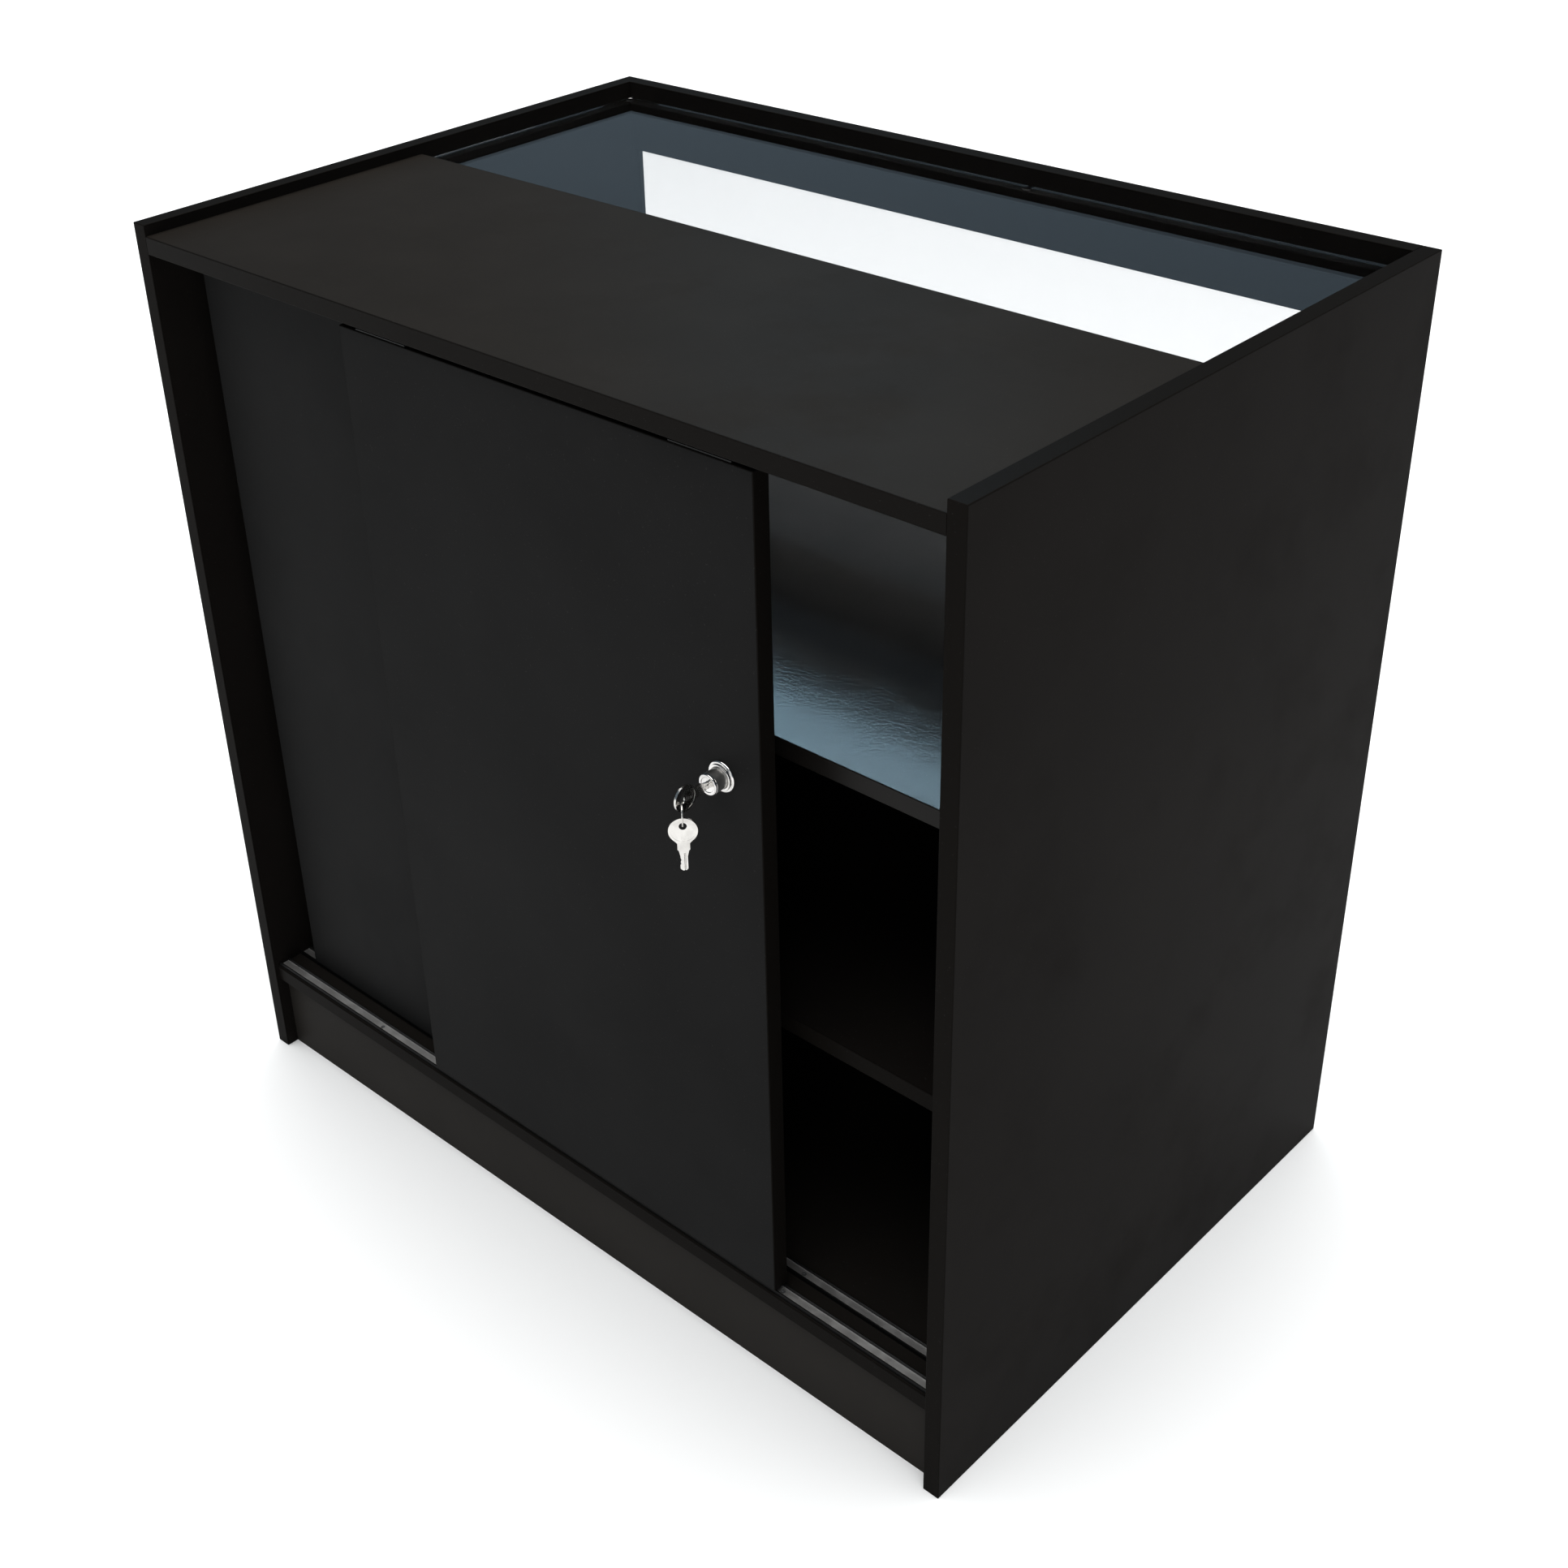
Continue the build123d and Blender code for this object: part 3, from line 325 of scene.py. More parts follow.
def use_group(tree, group, position):
    """Places a shared group in a material and feeds it the position."""
    node = tree.nodes.new("ShaderNodeGroup")
    node.node_tree = group
    tree.links.new(position, node.inputs["Position"])
    return node


def mix_colour(tree, mask, first, second):
    """A colour that goes from the first to the second where the mask is 1. Each is a socket or a colour."""
    node = add_node(tree, "ShaderNodeMix", data_type="RGBA")
    tree.links.new(mask, node.inputs["Factor"])
    for label, value in (("A", first), ("B", second)):
        socket = [s for s in node.inputs if s.name == label and s.type == "RGBA"][0]
        if isinstance(value, tuple):
            socket.default_value = (*value, 1.0)
        else:
            tree.links.new(value, socket)
    return [s for s in node.outputs if s.type == "RGBA"][0]


def bump(tree, shader, height, strength, distance):
    """Raises the surface by a height map, without changing its mesh."""
    node = add_node(tree, "ShaderNodeBump")
    node.inputs["Strength"].default_value = strength
    node.inputs["Distance"].default_value = distance
    tree.links.new(height, node.inputs["Height"])
    tree.links.new(node.outputs["Normal"], shader.inputs["Normal"])


# %% [markdown]
# ### Black board
#
# The face is a warm near-black with a soft shine. The pebbles go into the bump, the clouds change the
# colour by a few percent, and the smudges change the shine. The tape on the edges is its own plastic:
# about as dark and a little smoother, with a black hairline beside it. Each board has its own edges, so
# the function takes the board's node and the sides that are taped. The showcase's floor is the one board
# with a high gloss, and its face is gently wavy instead of pebbled.

# %% Black board with taped edges
FACE_COLOUR, FACE_SHINE, FACE_ROUGHNESS = (0.0066, 0.0057, 0.0051), 0.009, 0.42
TAPE_COLOUR, TAPE_ROUGHNESS = (0.0060, 0.0052, 0.0045), 0.38
JOINT_COLOUR, DUST_COLOUR, DUST_SHARE = (0.0015, 0.0015, 0.0015), (0.20, 0.19, 0.18), 0.06
MOTTLE, PEBBLE_DEPTH, RIPPLE_SCALE = 1.28, 0.18 * MM, 380.0


def board_material(
    node_name, taped_sides, face=FACE_COLOUR, shine=FACE_SHINE, roughness=FACE_ROUGHNESS,
    wave=PEBBLE_DEPTH, ripple=0.0,
):
    """Black melamine for one board. taped_sides names its taped edges, such as '-Y' or '+Z'."""
    low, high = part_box(node_name)
    material, tree, shader, position = open_material(node_name + "_melamine", face, roughness, 0.0, shine)
    pebble = use_group(tree, pebble_group, position)
    marks = use_group(tree, marks_group, position)
    edge = use_group(tree, tape_group, position)
    edge.inputs["Low"].default_value = [
        low[axis] if "-" + "XYZ"[axis] in taped_sides else -FAR_AWAY for axis in range(3)
    ]
    edge.inputs["High"].default_value = [
        high[axis] if "+" + "XYZ"[axis] in taped_sides else FAR_AWAY for axis in range(3)
    ]
    lighter = tuple(channel * MOTTLE for channel in face)
    colour = mix_colour(tree, pebble.outputs["Mottle"], face, lighter)
    colour = mix_colour(tree, edge.outputs["Tape"], colour, TAPE_COLOUR)
    colour = mix_colour(tree, edge.outputs["Joint"], colour, JOINT_COLOUR)
    dusty = maths(tree, "MULTIPLY", marks.outputs["Speck"], DUST_SHARE)
    colour = mix_colour(tree, dusty, colour, DUST_COLOUR)
    tree.links.new(colour, shader.inputs["Base Color"])
    gloss = ramp(tree, marks.outputs["Smudge"], 0.0, 1.0, roughness - 0.02, roughness + 0.07)
    on_tape = maths(tree, "MULTIPLY", edge.outputs["Tape"], TAPE_ROUGHNESS - roughness)
    tree.links.new(maths(tree, "ADD", gloss, on_tape), shader.inputs["Roughness"])
    height = pebble.outputs["Height"]
    if ripple:
        broad = noise(tree, position, RIPPLE_SCALE, 3.0)
        fine = maths(tree, "MULTIPLY", height, 0.2)
        height = maths(tree, "ADD", fine, maths(tree, "MULTIPLY", broad, ripple))
    bump(tree, shader, height, 0.16, wave)
    return material


def dress(node_name, material):
    """Puts one material on every slot of a CAD node."""
    mesh = nodes[node_name].data
    if not mesh.materials:
        mesh.materials.append(material)
    for number in range(len(mesh.materials)):
        mesh.materials[number] = material


# %% Each board's taped edges, colour and shine, with painted light in four of the colours
# Painted light: the counter deck, kick board, base panel and doors are the same black melamine as the
# sides, given lighter colours for the light that falls on each.
COUNTER_PAINTED_LIGHT, KICK_PAINTED_LIGHT = (0.0125, 0.0108, 0.0092), (0.0175, 0.0158, 0.0141)
BASE_PAINTED_LIGHT, DOOR_PAINTED_LIGHT = (0.0078, 0.0069, 0.0061), (0.0092, 0.0091, 0.0090)
GLOSSY_COLOUR = (0.0340, 0.0335, 0.0330)
side_edges, door_edges = ("-Y", "+Y", "+Z"), ("-X", "+X", "-Z", "+Z")
boards = {
    "left_side_panel": (side_edges, FACE_COLOUR, FACE_SHINE),
    "right_side_panel": (side_edges, FACE_COLOUR, FACE_SHINE),
    "storage_shelf": (("-Y", "+Y"), FACE_COLOUR, FACE_SHINE),
    "front_lower_panel": (("+Z",), FACE_COLOUR, FACE_SHINE),
    "front_top_rail": (("-Z", "+Z"), FACE_COLOUR, FACE_SHINE),
    "counter_deck": (("-Y", "+Y"), COUNTER_PAINTED_LIGHT, 0.018),
    "kick_board": ((), KICK_PAINTED_LIGHT, 0.014),
    "base_panel": (("-Y",), BASE_PAINTED_LIGHT, 0.010),
    "near_door_panel": (door_edges, DOOR_PAINTED_LIGHT, 0.012),
    "far_door_panel": (door_edges, DOOR_PAINTED_LIGHT, 0.012),
}
for board_name, (sides, face, shine) in boards.items():
    dress(board_name, board_material(board_name, sides, face, shine))
glossy = board_material(
    "display_deck", ("-Y",), GLOSSY_COLOUR, shine=0.08, roughness=0.045, wave=0.05 * MM, ripple=5.0
)
dress("display_deck", glossy)
print("boards dressed:", len(boards) + 1)

# %% [markdown]
# ### Glass
#
# Float glass is clear through its face and green through its cut edge, because there the light goes
# through much more of it. The material is one clear solid, and the tape group finds the strip near
# the edges, where the colour turns green. The smudges make the shine uneven, as on any shop glass.

# %% Clear panes with green edges
CLEAR, EDGE_GREEN = (1.0, 1.0, 1.0), (0.34, 0.56, 0.48)


def glass_material(node_name):
    """Float glass for one pane."""
    low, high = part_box(node_name)
    material, tree, shader, position = open_material(node_name + "_glass", CLEAR, 0.0)
    shader.inputs["Transmission Weight"].default_value = 1.0
    shader.inputs["IOR"].default_value = 1.5
    edge = use_group(tree, tape_group, position)
    thin = min(range(3), key=lambda axis: high[axis] - low[axis])
    edge.inputs["Low"].default_value = [-FAR_AWAY if axis == thin else low[axis] for axis in range(3)]
    edge.inputs["High"].default_value = [FAR_AWAY if axis == thin else high[axis] for axis in range(3)]
    edge.inputs["Thickness"].default_value = 0.6 * MM
    colour = mix_colour(tree, edge.outputs["Tape"], CLEAR, EDGE_GREEN)
    tree.links.new(colour, shader.inputs["Base Color"])
    marks = use_group(tree, marks_group, position)
    tree.links.new(ramp(tree, marks.outputs["Smudge"], 0.2, 1.0, 0.0, 0.02), shader.inputs["Roughness"])
    return material


for pane in ("top_glass", "front_glass"):
    dress(pane, glass_material(pane))
    print(pane, "dressed")

# %% [markdown]
# ### Tracks
#
# The bottom tracks are aluminium channels. Their walls and lips carry painted shade: they are coloured
# black and made non-metal in place of their shade, and the floor of the channel keeps the bare metal. The
# mask is the distance from the channel's middle, and it fades near the walls.

# %% Aluminium channels, with painted shade in black on all but their floors
GREY, DULL_METAL, BRIGHT_METAL = (0.6, 0.6, 0.6), (0.88, 0.87, 0.855), (0.98, 0.97, 0.955)
# The black on the walls is painted shade: bare aluminium, darkened and made non-metal on its walls and lips
# in place of their shade.
SCUFFED_METAL, PAINTED_SHADE_BLACK = (0.84, 0.83, 0.815), (0.004, 0.004, 0.004)
FADE_STARTS, FADE_ENDS = 2.0 * MM, 1.25 * MM


def track_material(node_name):
    """Drawn aluminium, bright on the channel's floor, with painted shade in black on its two walls."""
    low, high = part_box(node_name)
    middle = (low.y + high.y) / 2
    half = (high.y - low.y) / 2
    material, tree, shader, position = open_material(node_name + "_aluminium", GREY, 0.4, 1.0, 0.08)
    apart = add_node(tree, "ShaderNodeSeparateXYZ")
    tree.links.new(position, apart.inputs["Vector"])
    sideways = maths(tree, "ABSOLUTE", maths(tree, "SUBTRACT", apart.outputs["Y"], middle), 0.0)
    # Painted shade mask: 1 on the channel's walls and lips, 0 on its floor.
    wall_shade_mask = ramp(tree, sideways, half - FADE_STARTS, half - FADE_ENDS)
    drawn = use_group(tree, drawn_group, position)
    bright = mix_colour(tree, drawn.outputs["Lines"], DULL_METAL, BRIGHT_METAL)
    bright = mix_colour(tree, drawn.outputs["Scuff"], bright, SCUFFED_METAL)
    tree.links.new(mix_colour(tree, wall_shade_mask, bright, PAINTED_SHADE_BLACK), shader.inputs["Base Color"])
    tree.links.new(ramp(tree, wall_shade_mask, 0.0, 1.0, 1.0, 0.0), shader.inputs["Metallic"])
    tree.links.new(ramp(tree, drawn.outputs["Scuff"], 0.0, 1.0, 0.38, 0.48), shader.inputs["Roughness"])
    bump(tree, shader, drawn.outputs["Lines"], 0.08, 0.00004)
    return material


for track in ("near_track", "far_track"):
    dress(track, track_material(track))
    print(track, "dressed")

# %% [markdown]
# ### Small plastic, nylon, steel and wood
#
# The rest are small pieces. Moulded plastic is slightly uneven, plated steel has cloudy colour and fine
# lines from its tools, and beech dowels have grain along their length. Each kind has one function, and
# the pieces differ in colour and shine only.

# %% Moulded plastics and rubber
def moulded_material(name, colour, roughness, specular=0.4):
    """Moulded plastic with a faint orange-peel skin."""
    material, tree, shader, position = open_material(name, colour, roughness, 0.0, specular)
    pebble = use_group(tree, pebble_group, position)
    marks = use_group(tree, marks_group, position)
    lighter = tuple(min(1.0, channel * 1.25 + 0.002) for channel in colour)
    tree.links.new(mix_colour(tree, pebble.outputs["Mottle"], colour, lighter), shader.inputs["Base Color"])
    gloss = ramp(tree, marks.outputs["Smudge"], 0.0, 1.0, roughness - 0.04, roughness + 0.08)
    tree.links.new(gloss, shader.inputs["Roughness"])
    bump(tree, shader, pebble.outputs["Height"], 0.08, 0.0001)
    return material


black_trim = moulded_material("black_trim", (0.0050, 0.0047, 0.0042), 0.55, 0.05)
black_plastic = moulded_material("black_moulding", (0.0060, 0.0060, 0.0062), 0.45, 0.15)
white_nylon = moulded_material("white_nylon", (0.70, 0.69, 0.65), 0.38)
clear_rubber = moulded_material("clear_bumper", (0.72, 0.74, 0.74), 0.25)
clear_rubber.node_tree.nodes["Principled BSDF"].inputs["Transmission Weight"].default_value = 0.7

for end in ("left", "right", "front", "rear"):
    dress("glass_ledge_" + end, black_trim)
for door in ("near", "far"):
    dress(door + "_guide_channel", black_plastic)
    for place in ("left", "right"):
        dress(f"{door}_{place}_roller_housing", black_plastic)
        dress(f"{door}_{place}_top_guide", black_plastic)
        dress(f"{door}_{place}_roller", white_nylon)
dress("strike_bush", black_plastic)
dress("glass_pads", clear_rubber)
print("mouldings:", black_trim.name, black_plastic.name, white_nylon.name, clear_rubber.name)

# %% Plated metals
def plated_material(name, dark, light, roughness, stretch=(900.0, 900.0, 900.0)):
    """Plated or turned metal: fine tool lines, cloudy colour and uneven shine."""
    material, tree, shader, position = open_material(name, light, roughness, 1.0)
    drawn = use_group(tree, drawn_group, position)
    drawn.inputs["Stretch"].default_value = stretch
    colour = mix_colour(tree, drawn.outputs["Scuff"], light, dark)
    tree.links.new(colour, shader.inputs["Base Color"])
    gloss = ramp(tree, drawn.outputs["Lines"], 0.3, 0.7, roughness - 0.05, roughness + 0.07)
    tree.links.new(gloss, shader.inputs["Roughness"])
    bump(tree, shader, drawn.outputs["Lines"], 0.08, 0.00003)
    return material


zinc_steel = plated_material("zinc_steel", (0.36, 0.37, 0.38), (0.58, 0.59, 0.60), 0.32)
cast_zinc = plated_material("cast_zinc", (0.30, 0.29, 0.28), (0.48, 0.47, 0.45), 0.50)
chrome = plated_material("polished_chrome", (0.50, 0.485, 0.47), (0.66, 0.645, 0.63), 0.14)
turned_steel = plated_material(
    "turned_steel", (0.34, 0.33, 0.32), (0.58, 0.57, 0.55), 0.34, (60.0, 5200.0, 60.0)
)
nickel = plated_material(
    "nickel_plate", (0.48, 0.465, 0.445), (0.63, 0.615, 0.59), 0.19, (700.0, 700.0, 150.0)
)

metal_nodes = {
    "near_roller_axles": zinc_steel, "far_roller_axles": zinc_steel, "near_guide_screws": zinc_steel,
    "far_guide_screws": zinc_steel, "track_screws": zinc_steel, "cam_bolts": zinc_steel,
    "shelf_pins": zinc_steel, "lock_nut": zinc_steel, "plunger_spring": zinc_steel,
    "cam_discs": cast_zinc, "lock_plunger": turned_steel, "lock_housing": chrome,
    "plunger_bezel": chrome, "lock_core": chrome, "key": nickel, "spare_key": nickel, "key_ring": nickel,
}
for node_name, metal in metal_nodes.items():
    dress(node_name, metal)
print("metal nodes:", len(metal_nodes))

# %% Fluted beech dowels
beech, beech_tree, beech_shader, beech_position = open_material("fluted_beech", (0.55, 0.38, 0.22), 0.6)
beech_lines = use_group(beech_tree, drawn_group, beech_position)
beech_lines.inputs["Stretch"].default_value = (12.0, 1500.0, 1500.0)
grain = mix_colour(beech_tree, beech_lines.outputs["Lines"], (0.44, 0.29, 0.16), (0.66, 0.49, 0.31))
beech_tree.links.new(grain, beech_shader.inputs["Base Color"])
bump(beech_tree, beech_shader, beech_lines.outputs["Lines"], 0.3, 0.0003)
dress("dowels", beech)
print("materials:", len(bpy.data.materials))

# %% [markdown]
# ## Tools for modelling in edit mode
#
# The lock, its keys and the screws are small, but they are the only bright things on a black object, so
# the eye goes straight to them. They are modelled by hand in edit mode. Before each primitive everything
# is deselected, because an operator acts on all that is selected.

# %% Start, open and pick
def start_piece(name, add, **settings):
    """Adds a primitive with nothing else selected, and names it."""
    bpy.ops.object.select_all(action="DESELECT")
    add(**settings)
    piece = bpy.context.object
    piece.name = name
    piece.data.name = name
    return piece


def choose(*pieces):
    """Selects these pieces only. The first is the active one."""
    bpy.ops.object.select_all(action="DESELECT")
    for piece in pieces:
        piece.select_set(True)
    bpy.context.view_layer.objects.active = pieces[0]


def pick(piece, kind, test):
    """In edit mode, selects the vertices or faces whose place and normal pass a test."""
    bpy.ops.mesh.select_mode(type=kind)
    bpy.ops.mesh.select_all(action="DESELECT")
    mesh = bmesh.from_edit_mesh(piece.data)
    for thing in mesh.verts if kind == "VERT" else mesh.faces:
        place = thing.co if kind == "VERT" else thing.calc_center_median()
        if test(place, thing.normal):
            thing.select_set(True)
    mesh.select_flush(True)
    bmesh.update_edit_mesh(piece.data)


TOUCHING = 0.004 * MM


def close_up(piece, smooth_angle=35.0):
    """Merges doubles, points the faces outwards, applies the object's place and smooths it."""
    choose(piece)
    bpy.ops.object.transform_apply(location=True, rotation=True, scale=True)
    bpy.ops.object.mode_set(mode="EDIT")
    bpy.ops.mesh.select_all(action="SELECT")
    bpy.ops.mesh.remove_doubles(threshold=TOUCHING)
    bpy.ops.mesh.normals_make_consistent(inside=False)
    bpy.ops.object.mode_set(mode="OBJECT")
    bpy.ops.object.shade_smooth_by_angle(angle=math.radians(smooth_angle))


def combine(piece, other, operation="DIFFERENCE"):
    """Takes another closed piece out of this one, or welds it on with UNION, and removes the other."""
    choose(piece)
    modifier = piece.modifiers.new("combine", "BOOLEAN")
    modifier.operation = operation
    modifier.solver = "EXACT"
    modifier.object = other
    bpy.ops.object.modifier_apply(modifier=modifier.name)
    bpy.data.objects.remove(other)


def cap_ends(piece):
    """Fills the open ends of a wound wire."""
    choose(piece)
    bpy.ops.object.mode_set(mode="EDIT")
    bpy.ops.mesh.select_mode(type="VERT")
    bpy.ops.mesh.select_all(action="DESELECT")
    bpy.ops.mesh.select_non_manifold()
    bpy.ops.mesh.fill_holes(sides=0)
    bpy.ops.object.mode_set(mode="OBJECT")


def round_edges(piece, width, segments=2, angle=40.0):
    """Bevels the sharp edges and applies the bevel."""
    choose(piece)
    modifier = piece.modifiers.new("round", "BEVEL")
    modifier.width = width
    modifier.segments = segments
    modifier.limit_method = "ANGLE"
    modifier.angle_limit = math.radians(angle)
    bpy.ops.object.modifier_apply(modifier=modifier.name)


def copy_moved(piece, name, matrix):
    """A copy with its own mesh, moved or turned by a matrix that is applied to the mesh."""
    double = piece.copy()
    double.data = piece.data.copy()
    double.name = name
    double.data.name = name
    bpy.context.scene.collection.objects.link(double)
    double.matrix_world = matrix @ double.matrix_world
    choose(double)
    bpy.ops.object.transform_apply(location=True, rotation=True, scale=True)
    return double


def settle(piece, material, body, slot_name, *stood_for):
    """Gives a finished piece its material and its body, and hides the CAD nodes it stands for. slot_name is
    not used.
    """
    piece.data.materials.clear()
    piece.data.materials.append(material)
    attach(piece, body)
    if stood_for:
        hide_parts(*stood_for)
    print(piece.name, "faces:", len(piece.data.polygons))


# %% [markdown]
# ## Turned parts of the lock
#
# The rosette, the barrel and the ring on the plunger are turned on a lathe, so each is a profile spun
# about an axis. The profile begins as one point: a plane merged to its centre. It is extruded from point
# to point, and spinning it closes the shape. Round lips of small steps catch a bright line of light,
# which a plain chamfer doesn't.

# %% Spin a profile
def turned(name, profile, middle, axis="Y", steps=96):
    """Spins a closed profile of (radius, distance along the axis), in metres, round a middle point."""
    def placed(radius, along):
        offset = Vector((radius, along, 0.0)) if axis == "Y" else Vector((radius, 0.0, along))
        return Vector(middle) + offset

    piece = start_piece(name, bpy.ops.mesh.primitive_plane_add, size=0.002)
    bpy.ops.object.mode_set(mode="EDIT")
    bpy.ops.mesh.select_all(action="SELECT")
    bpy.ops.mesh.merge(type="CENTER")
    bpy.ops.transform.translate(value=placed(*profile[0]))
    for before, after in zip(profile, profile[1:] + profile[:1]):
        step = placed(*after) - placed(*before)
        bpy.ops.mesh.extrude_region_move(TRANSFORM_OT_translate={"value": step})
    bpy.ops.mesh.select_all(action="SELECT")
    bpy.ops.mesh.remove_doubles(threshold=TOUCHING)
    spin_axis = (0.0, 1.0, 0.0) if axis == "Y" else (0.0, 0.0, 1.0)
    bpy.ops.mesh.spin(steps=steps, angle=2 * math.pi, center=Vector(middle), axis=spin_axis)
    bpy.ops.object.mode_set(mode="OBJECT")
    close_up(piece)
    return piece


def in_mm(points):
    """Millimetres to metres, for a list of points."""
    return [(first * MM, second * MM) for first, second in points]


# %% The rosette with its threaded barrel
lock_low, lock_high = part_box("lock_housing")
door_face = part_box("near_door_panel")[0].y
lock_middle = Vector(((lock_low.x + lock_high.x) / 2, door_face, (lock_low.z + lock_high.z) / 2))
rosette_profile = [
    (8.80, -3.4), (8.95, -3.75), (9.3, -3.97), (9.8, -4.0), (10.4, -3.95), (10.85, -3.7), (11.0, -3.3),
    (11.0, -2.6), (11.12, -2.32), (11.5, -2.2), (12.1, -2.1), (12.65, -1.75), (12.93, -1.2), (13.0, -0.5),
    (12.92, -0.01), (9.95, -0.01), (9.95, 0.8),
]
THREADS, THREAD_PITCH = 24, 0.78
for thread in range(THREADS):
    rosette_profile += [(9.55, 1.1 + thread * THREAD_PITCH), (9.95, 1.5 + thread * THREAD_PITCH)]
rosette_profile += [(9.6, 20.0), (5.55, 20.0), (5.55, 18.0), (8.80, 18.0)]
rosette = turned("lock_rosette", in_mm(rosette_profile), lock_middle)
settle(rosette, chrome, "near_door", "lock_chrome", "lock_housing")

# %% The ring on the plunger's front
bezel_middle = Vector((lock_middle.x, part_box("plunger_bezel")[0].y, lock_middle.z))
bezel_profile = [
    (6.06, 2.5), (6.06, 0.75), (6.16, 0.35), (6.5, 0.06), (7.0, 0.0), (7.8, 0.0), (8.3, 0.12), (8.62, 0.45),
    (8.75, 0.95), (8.75, 1.7), (8.6, 1.85), (8.6, 2.05), (8.75, 2.2), (8.75, 2.5),
]
bezel = turned("plunger_ring", in_mm(bezel_profile), bezel_middle)
settle(bezel, chrome, "lock_bolt", "lock_chrome", "plunger_bezel")

# %% [markdown]
# ## The plunger's spring
#
# A steel coil stands between the plunger and the back wall of the barrel, and pushes the plunger out.
# Its wire is a small circle that the Screw modifier winds round. When the plunger is pressed the coil
# gets shorter towards the back wall.

# %% Wind the coil
coil_low, coil_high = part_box("plunger_spring")
COIL_WIRE, COIL_TURNS, COIL_STEPS = 0.4 * MM, 5, 30
coil_long = coil_high.y - coil_low.y
coil_radius = (coil_high.z - coil_low.z) / 2 - COIL_WIRE
coil = start_piece(
    "spring_coil", bpy.ops.mesh.primitive_circle_add, vertices=12, radius=COIL_WIRE,
    location=(coil_radius, 0.0, 0.0), rotation=(math.radians(90.0), 0.0, 0.0),
)
bpy.ops.object.transform_apply(location=True, rotation=True, scale=True)
climbing = coil.modifiers.new("climb", "SCREW")
climbing.axis = "Z"
climbing.iterations = COIL_TURNS
climbing.screw_offset = (coil_long - 2 * COIL_WIRE) / COIL_TURNS
climbing.steps = climbing.render_steps = COIL_STEPS
bpy.ops.object.modifier_apply(modifier="climb")
cap_ends(coil)
backwards = Matrix(((1, 0, 0), (0, 0, 1), (0, -1, 0))).to_4x4()
backwards.translation = (lock_middle.x, coil_low.y + COIL_WIRE, lock_middle.z)
coil.matrix_world = backwards
close_up(coil)
settle(coil, zinc_steel, "near_door", "steel", "plunger_spring")
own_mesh(coil)

# %% [markdown]
# ## Keys
#
# A cabinet key is stamped from sheet, milled with a groove down each side of its blade, and plated. Its
# head is a disc with a shallow sunk field inside a rim. The blade starts as its small end face, is
# extruded from station to station, and after each step its upper or lower edge is moved to the outline.
# One key is modelled flat and finished, and then copied: one copy stands in the lock, one hangs.

# %% Draw the blade and neck from the tip
KEY_LENGTH, HEAD_RADIUS, KEY_HALF, FIRST_HEIGHT = 46.0 * MM, 11.0 * MM, 0.9 * MM, 2.4 * MM
SAME_PLACE = 0.01 * MM
stations = [
    (0.0, 1.2, -1.2), (1.6, 3.0, -2.7), (5.0, 3.0, -2.7), (6.2, 2.3, -2.7), (7.6, 2.8, -2.7),
    (9.4, 2.1, -2.7), (11.2, 2.7, -2.7), (12.4, 2.7, -2.7), (17.5, 3.8, -3.8), (18.5, 4.7, -4.7),
    (24.0, 4.7, -4.7), (27.0, 7.4, -7.4), (29.0, 7.0, -7.0),
]
blade = start_piece(
    "key_blank", bpy.ops.mesh.primitive_plane_add, size=1.0, rotation=(0.0, math.radians(90.0), 0.0)
)
blade.scale = (KEY_HALF * 2, FIRST_HEIGHT, 1.0)
choose(blade)
bpy.ops.object.transform_apply(location=True, rotation=True, scale=True)
bpy.ops.object.mode_set(mode="EDIT")
for (before, _, _), (here, upper, lower) in zip(stations, stations[1:]):
    pick(blade, "VERT", lambda place, normal: abs(place.x - before * MM) < SAME_PLACE)
    bpy.ops.mesh.extrude_region_move(TRANSFORM_OT_translate={"value": ((here - before) * MM, 0.0, 0.0)})
    for side, target in ((1, upper), (-1, lower)):
        def on_this_edge(place, normal):
            return abs(place.x - here * MM) < SAME_PLACE and place.y * side > 0

        pick(blade, "VERT", on_this_edge)
        edge_now = max(side * v.co.y for v in bmesh.from_edit_mesh(blade.data).verts if v.select) * side
        bpy.ops.transform.translate(value=(0.0, target * MM - edge_now, 0.0))
bpy.ops.object.mode_set(mode="OBJECT")
close_up(blade)
print("blade:", len(blade.data.polygons), "faces")

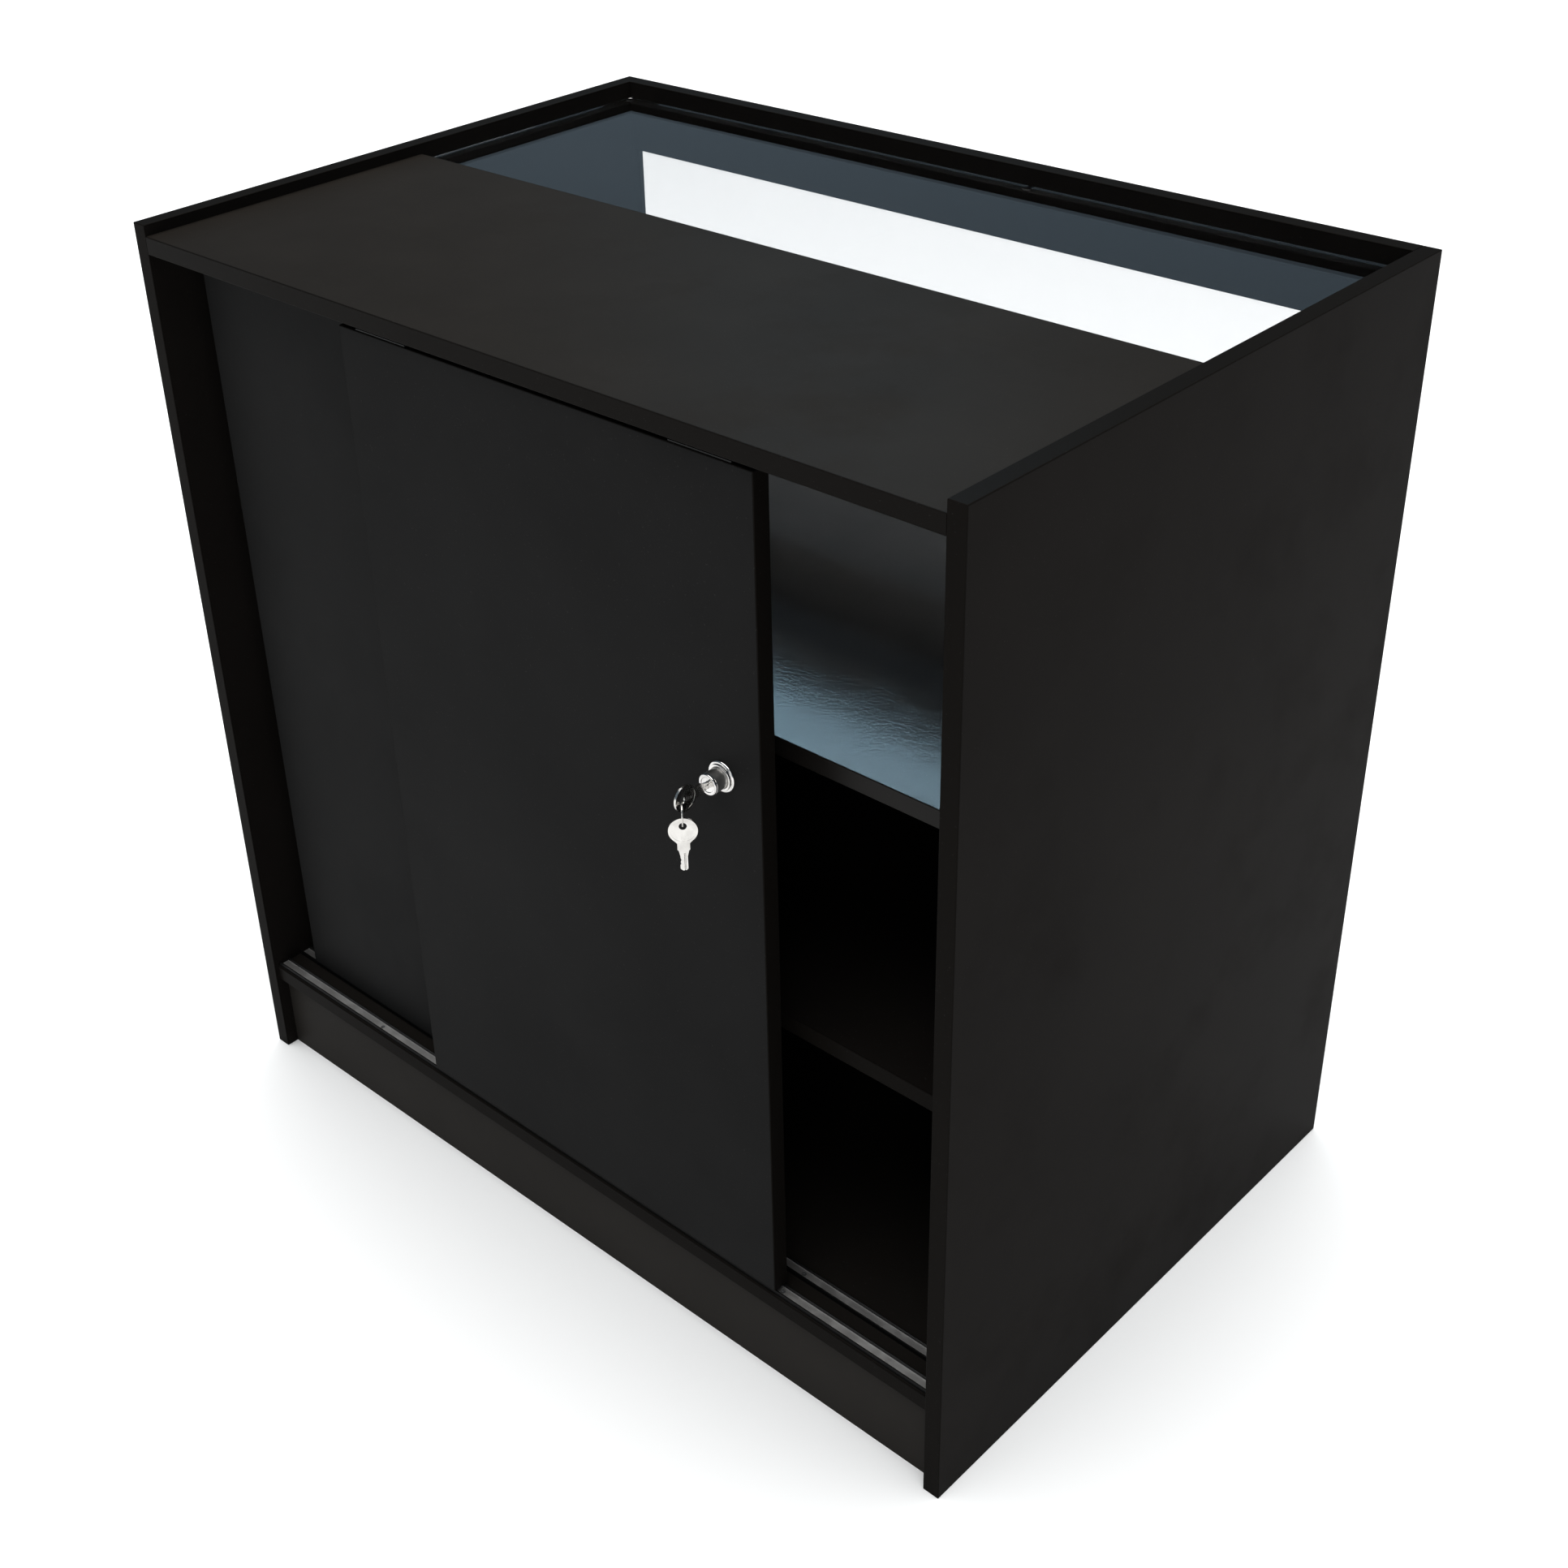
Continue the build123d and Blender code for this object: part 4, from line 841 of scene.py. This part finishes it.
# %% Add the head, the sunk fields, the grooves and the hole
RIM_WIDE, FIELD_DEPTH, EYE_RADIUS, EYE_FROM_END = 1.7 * MM, 0.2 * MM, 3.0 * MM, 7.0 * MM
GROOVE_RADIUS, GROOVE_LENGTH, GROOVE_OUT, GROOVE_ASIDE = 0.62 * MM, 16.5 * MM, 0.16 * MM, 0.7 * MM
head_middle = KEY_LENGTH - HEAD_RADIUS
head = start_piece(
    "key_head", bpy.ops.mesh.primitive_cylinder_add, vertices=96, radius=HEAD_RADIUS,
    depth=KEY_HALF * 2, location=(head_middle, 0.0, 0.0),
)
close_up(head)
combine(blade, head, "UNION")
for side in (-1, 1):
    field = start_piece(
        "field_cutter", bpy.ops.mesh.primitive_cylinder_add, vertices=96, radius=HEAD_RADIUS - RIM_WIDE,
        depth=FIELD_DEPTH * 2, location=(head_middle, 0.0, side * KEY_HALF),
    )
    combine(blade, field)
    groove_place = (7.0 * MM, side * -GROOVE_ASIDE, side * (KEY_HALF + GROOVE_OUT))
    groove = start_piece(
        "groove_cutter", bpy.ops.mesh.primitive_cylinder_add, vertices=24, radius=GROOVE_RADIUS,
        depth=GROOVE_LENGTH, location=groove_place, rotation=(0.0, math.radians(90.0), 0.0),
    )
    combine(blade, groove)
eye = start_piece(
    "eye_cutter", bpy.ops.mesh.primitive_cylinder_add, vertices=64, radius=EYE_RADIUS,
    depth=6.0 * MM, location=(KEY_LENGTH - EYE_FROM_END, 0.0, 0.0),
)
combine(blade, eye)
round_edges(blade, 0.14 * MM)
close_up(blade, 30.0)
print("key blank:", [round(v / MM, 2) for v in blade.dimensions], "mm")

# %% Put one key in the lock and hang the other
key_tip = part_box("key")[1].y
in_lock = Matrix(((0, 0, 1), (-1, 0, 0), (0, -1, 0))).to_4x4()
in_lock.translation = (lock_middle.x, key_tip, lock_middle.z)
lock_key = copy_moved(blade, "key_in_lock", in_lock)
settle(lock_key, nickel, "lock_key", "key_nickel", "key")

spare_low, spare_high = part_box("spare_key")
slant = math.sqrt(0.5)
hanging = Matrix(((0, -slant, slant), (0, -slant, -slant), (1, 0, 0))).to_4x4()
hanging.translation = (lock_middle.x, (spare_low.y + spare_high.y) / 2, spare_low.z)
spare = copy_moved(blade, "spare_key_hanging", hanging)
settle(spare, nickel, "hanging_key", "key_nickel", "spare_key")
bpy.data.objects.remove(blade)

# %% [markdown]
# ## The split ring
#
# A key ring is a flat spring wound twice round, so that it can be prised open. A rectangular section is
# screwed round for almost two turns. The height that this gives each step only tells how far along the
# wire it is: the steps are then laid flat, and the wire climbs across to the other turn in one short
# slope. Both cut ends lie at that slope, as on a real ring.

# %% Wind the ring
ring_low, ring_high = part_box("key_ring")
WIRE_WIDE, WIRE_THICK, WIRE_GAP = 1.15 * MM, 0.55 * MM, 0.04 * MM
WIRE_REACH, WIRE_ROUNDING = 0.8 * MM, 0.2 * MM
RING_RADIUS = (ring_high.z - ring_low.z) / 2 - WIRE_REACH
TURN_ANGLE, TURN_STEPS, SLOPE_ANGLE = 340.0, 96, 40.0
ring = start_piece(
    "split_ring", bpy.ops.mesh.primitive_plane_add, size=1.0, rotation=(math.radians(90.0), 0.0, 0.0)
)
ring.scale = (WIRE_WIDE, WIRE_THICK, 1.0)
ring.location.x = RING_RADIUS
choose(ring)
bpy.ops.object.transform_apply(location=True, rotation=True, scale=True)
bpy.ops.object.mode_set(mode="EDIT")
bpy.ops.mesh.select_all(action="SELECT")
bpy.ops.mesh.bevel(offset=WIRE_ROUNDING, segments=3, affect="VERTICES")
bpy.ops.object.mode_set(mode="OBJECT")
section_points = len(ring.data.vertices)
section = [vertex.co.copy() for vertex in ring.data.vertices]
wind = ring.modifiers.new("wind", "SCREW")
wind.axis = "Z"
wind.angle = math.radians(TURN_ANGLE)
wind.iterations = 2
wind.screw_offset = 2.0 * MM
wind.steps = wind.render_steps = TURN_STEPS
wind.use_merge_vertices = False
bpy.ops.object.modifier_apply(modifier="wind")
print("wire wound:", len(ring.data.vertices) // section_points, "steps")

# %% Lay its two turns flat and close its ends
for number, vertex in enumerate(ring.data.vertices):
    along = number // section_points * TURN_ANGLE / TURN_STEPS
    climb = min(max((along - (360.0 - SLOPE_ANGLE)) / SLOPE_ANGLE, 0.0), 1.0)
    climb = climb * climb * (3.0 - 2.0 * climb)
    vertex.co.z = section[number % section_points].z + (climb - 0.5) * (WIRE_THICK + WIRE_GAP)
cap_ends(ring)
hang = Matrix(((slant, 0, slant), (-slant, 0, slant), (0, -1, 0))).to_4x4()
hang.translation = (ring_low + ring_high) / 2
ring.matrix_world = hang @ Matrix.Rotation(math.radians(150.0), 4, "Z")
close_up(ring)
settle(ring, nickel, "ring", "key_nickel", "key_ring")

# %% [markdown]
# ## Cross-headed screws on the sliding doors
#
# Four pan-headed screws hold each door's top guides. A head is a short profile spun upright. A cross
# that narrows downwards is cut into it: its two arms are cubes whose lower faces are scaled in. One
# screw is finished, copied along the door, and the copies are joined, since they move as one.

# %% Model one screw
def tapered_bar(length, width, depth, top, turned_by):
    """A cutter for one arm of a cross recess, narrower at its foot."""
    bar = start_piece("cross_cutter", bpy.ops.mesh.primitive_cube_add, size=1.0)
    bar.scale = (length, width, depth * 2)
    bar.location.z = top
    choose(bar)
    bpy.ops.object.transform_apply(location=True, rotation=True, scale=True)
    bpy.ops.object.mode_set(mode="EDIT")
    pick(bar, "FACE", lambda place, normal: normal.z < -0.9)
    bpy.ops.transform.resize(value=(0.45, 0.7, 1.0))
    bpy.ops.object.mode_set(mode="OBJECT")
    bar.rotation_euler.z = turned_by
    close_up(bar)
    return bar


HEAD_HIGH, HEAD_WIDE, SHANK, SCREW_LONG = 1.8, 3.0, 1.45, 16.2
SCREW_APART, CROSS_LONG, CROSS_WIDE, CROSS_DEEP = 47.0 * MM, 3.4 * MM, 0.62 * MM, 1.1 * MM
screw_profile = [
    (0.0, HEAD_HIGH), (0.9, HEAD_HIGH - 0.03), (1.6, HEAD_HIGH - 0.14), (2.25, HEAD_HIGH - 0.38),
    (2.75, HEAD_HIGH - 0.78), (2.97, HEAD_HIGH - 1.2), (HEAD_WIDE, 0.25), (2.9, 0.05), (2.75, 0.0),
    (SHANK, 0.0), (SHANK, 1.4 - SCREW_LONG), (0.0, -SCREW_LONG),
]
screw = turned("door_screw", in_mm(screw_profile), (0.0, 0.0, 0.0), axis="Z", steps=36)
for turned_by in (0.0, math.pi / 2):
    cross_arm = tapered_bar(CROSS_LONG, CROSS_WIDE, CROSS_DEEP, HEAD_HIGH * MM, turned_by)
    combine(screw, cross_arm)
close_up(screw)
print("screw faces:", len(screw.data.polygons))

# %% Copy it to where the screws are
for door in ("near", "far"):
    node_name = door + "_guide_screws"
    low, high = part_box(node_name)
    plate_top = high.z - HEAD_HIGH * MM
    places = []
    for guide in (door + "_left_top_guide", door + "_right_top_guide"):
        guide_low, guide_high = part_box(guide)
        middle = (guide_low.x + guide_high.x) / 2
        places += [middle - SCREW_APART / 2, middle + SCREW_APART / 2]
    copies = []
    for number, x in enumerate(places):
        matrix = Matrix.Translation((x, (low.y + high.y) / 2, plate_top))
        matrix = matrix @ Matrix.Rotation(math.radians(23.0 + 31.0 * number), 4, "Z")
        copies.append(copy_moved(screw, door + "_door_screws", matrix))
    choose(*copies)
    bpy.ops.object.join()
    settle(copies[0], zinc_steel, door + "_door", "steel", node_name)
bpy.data.objects.remove(screw)
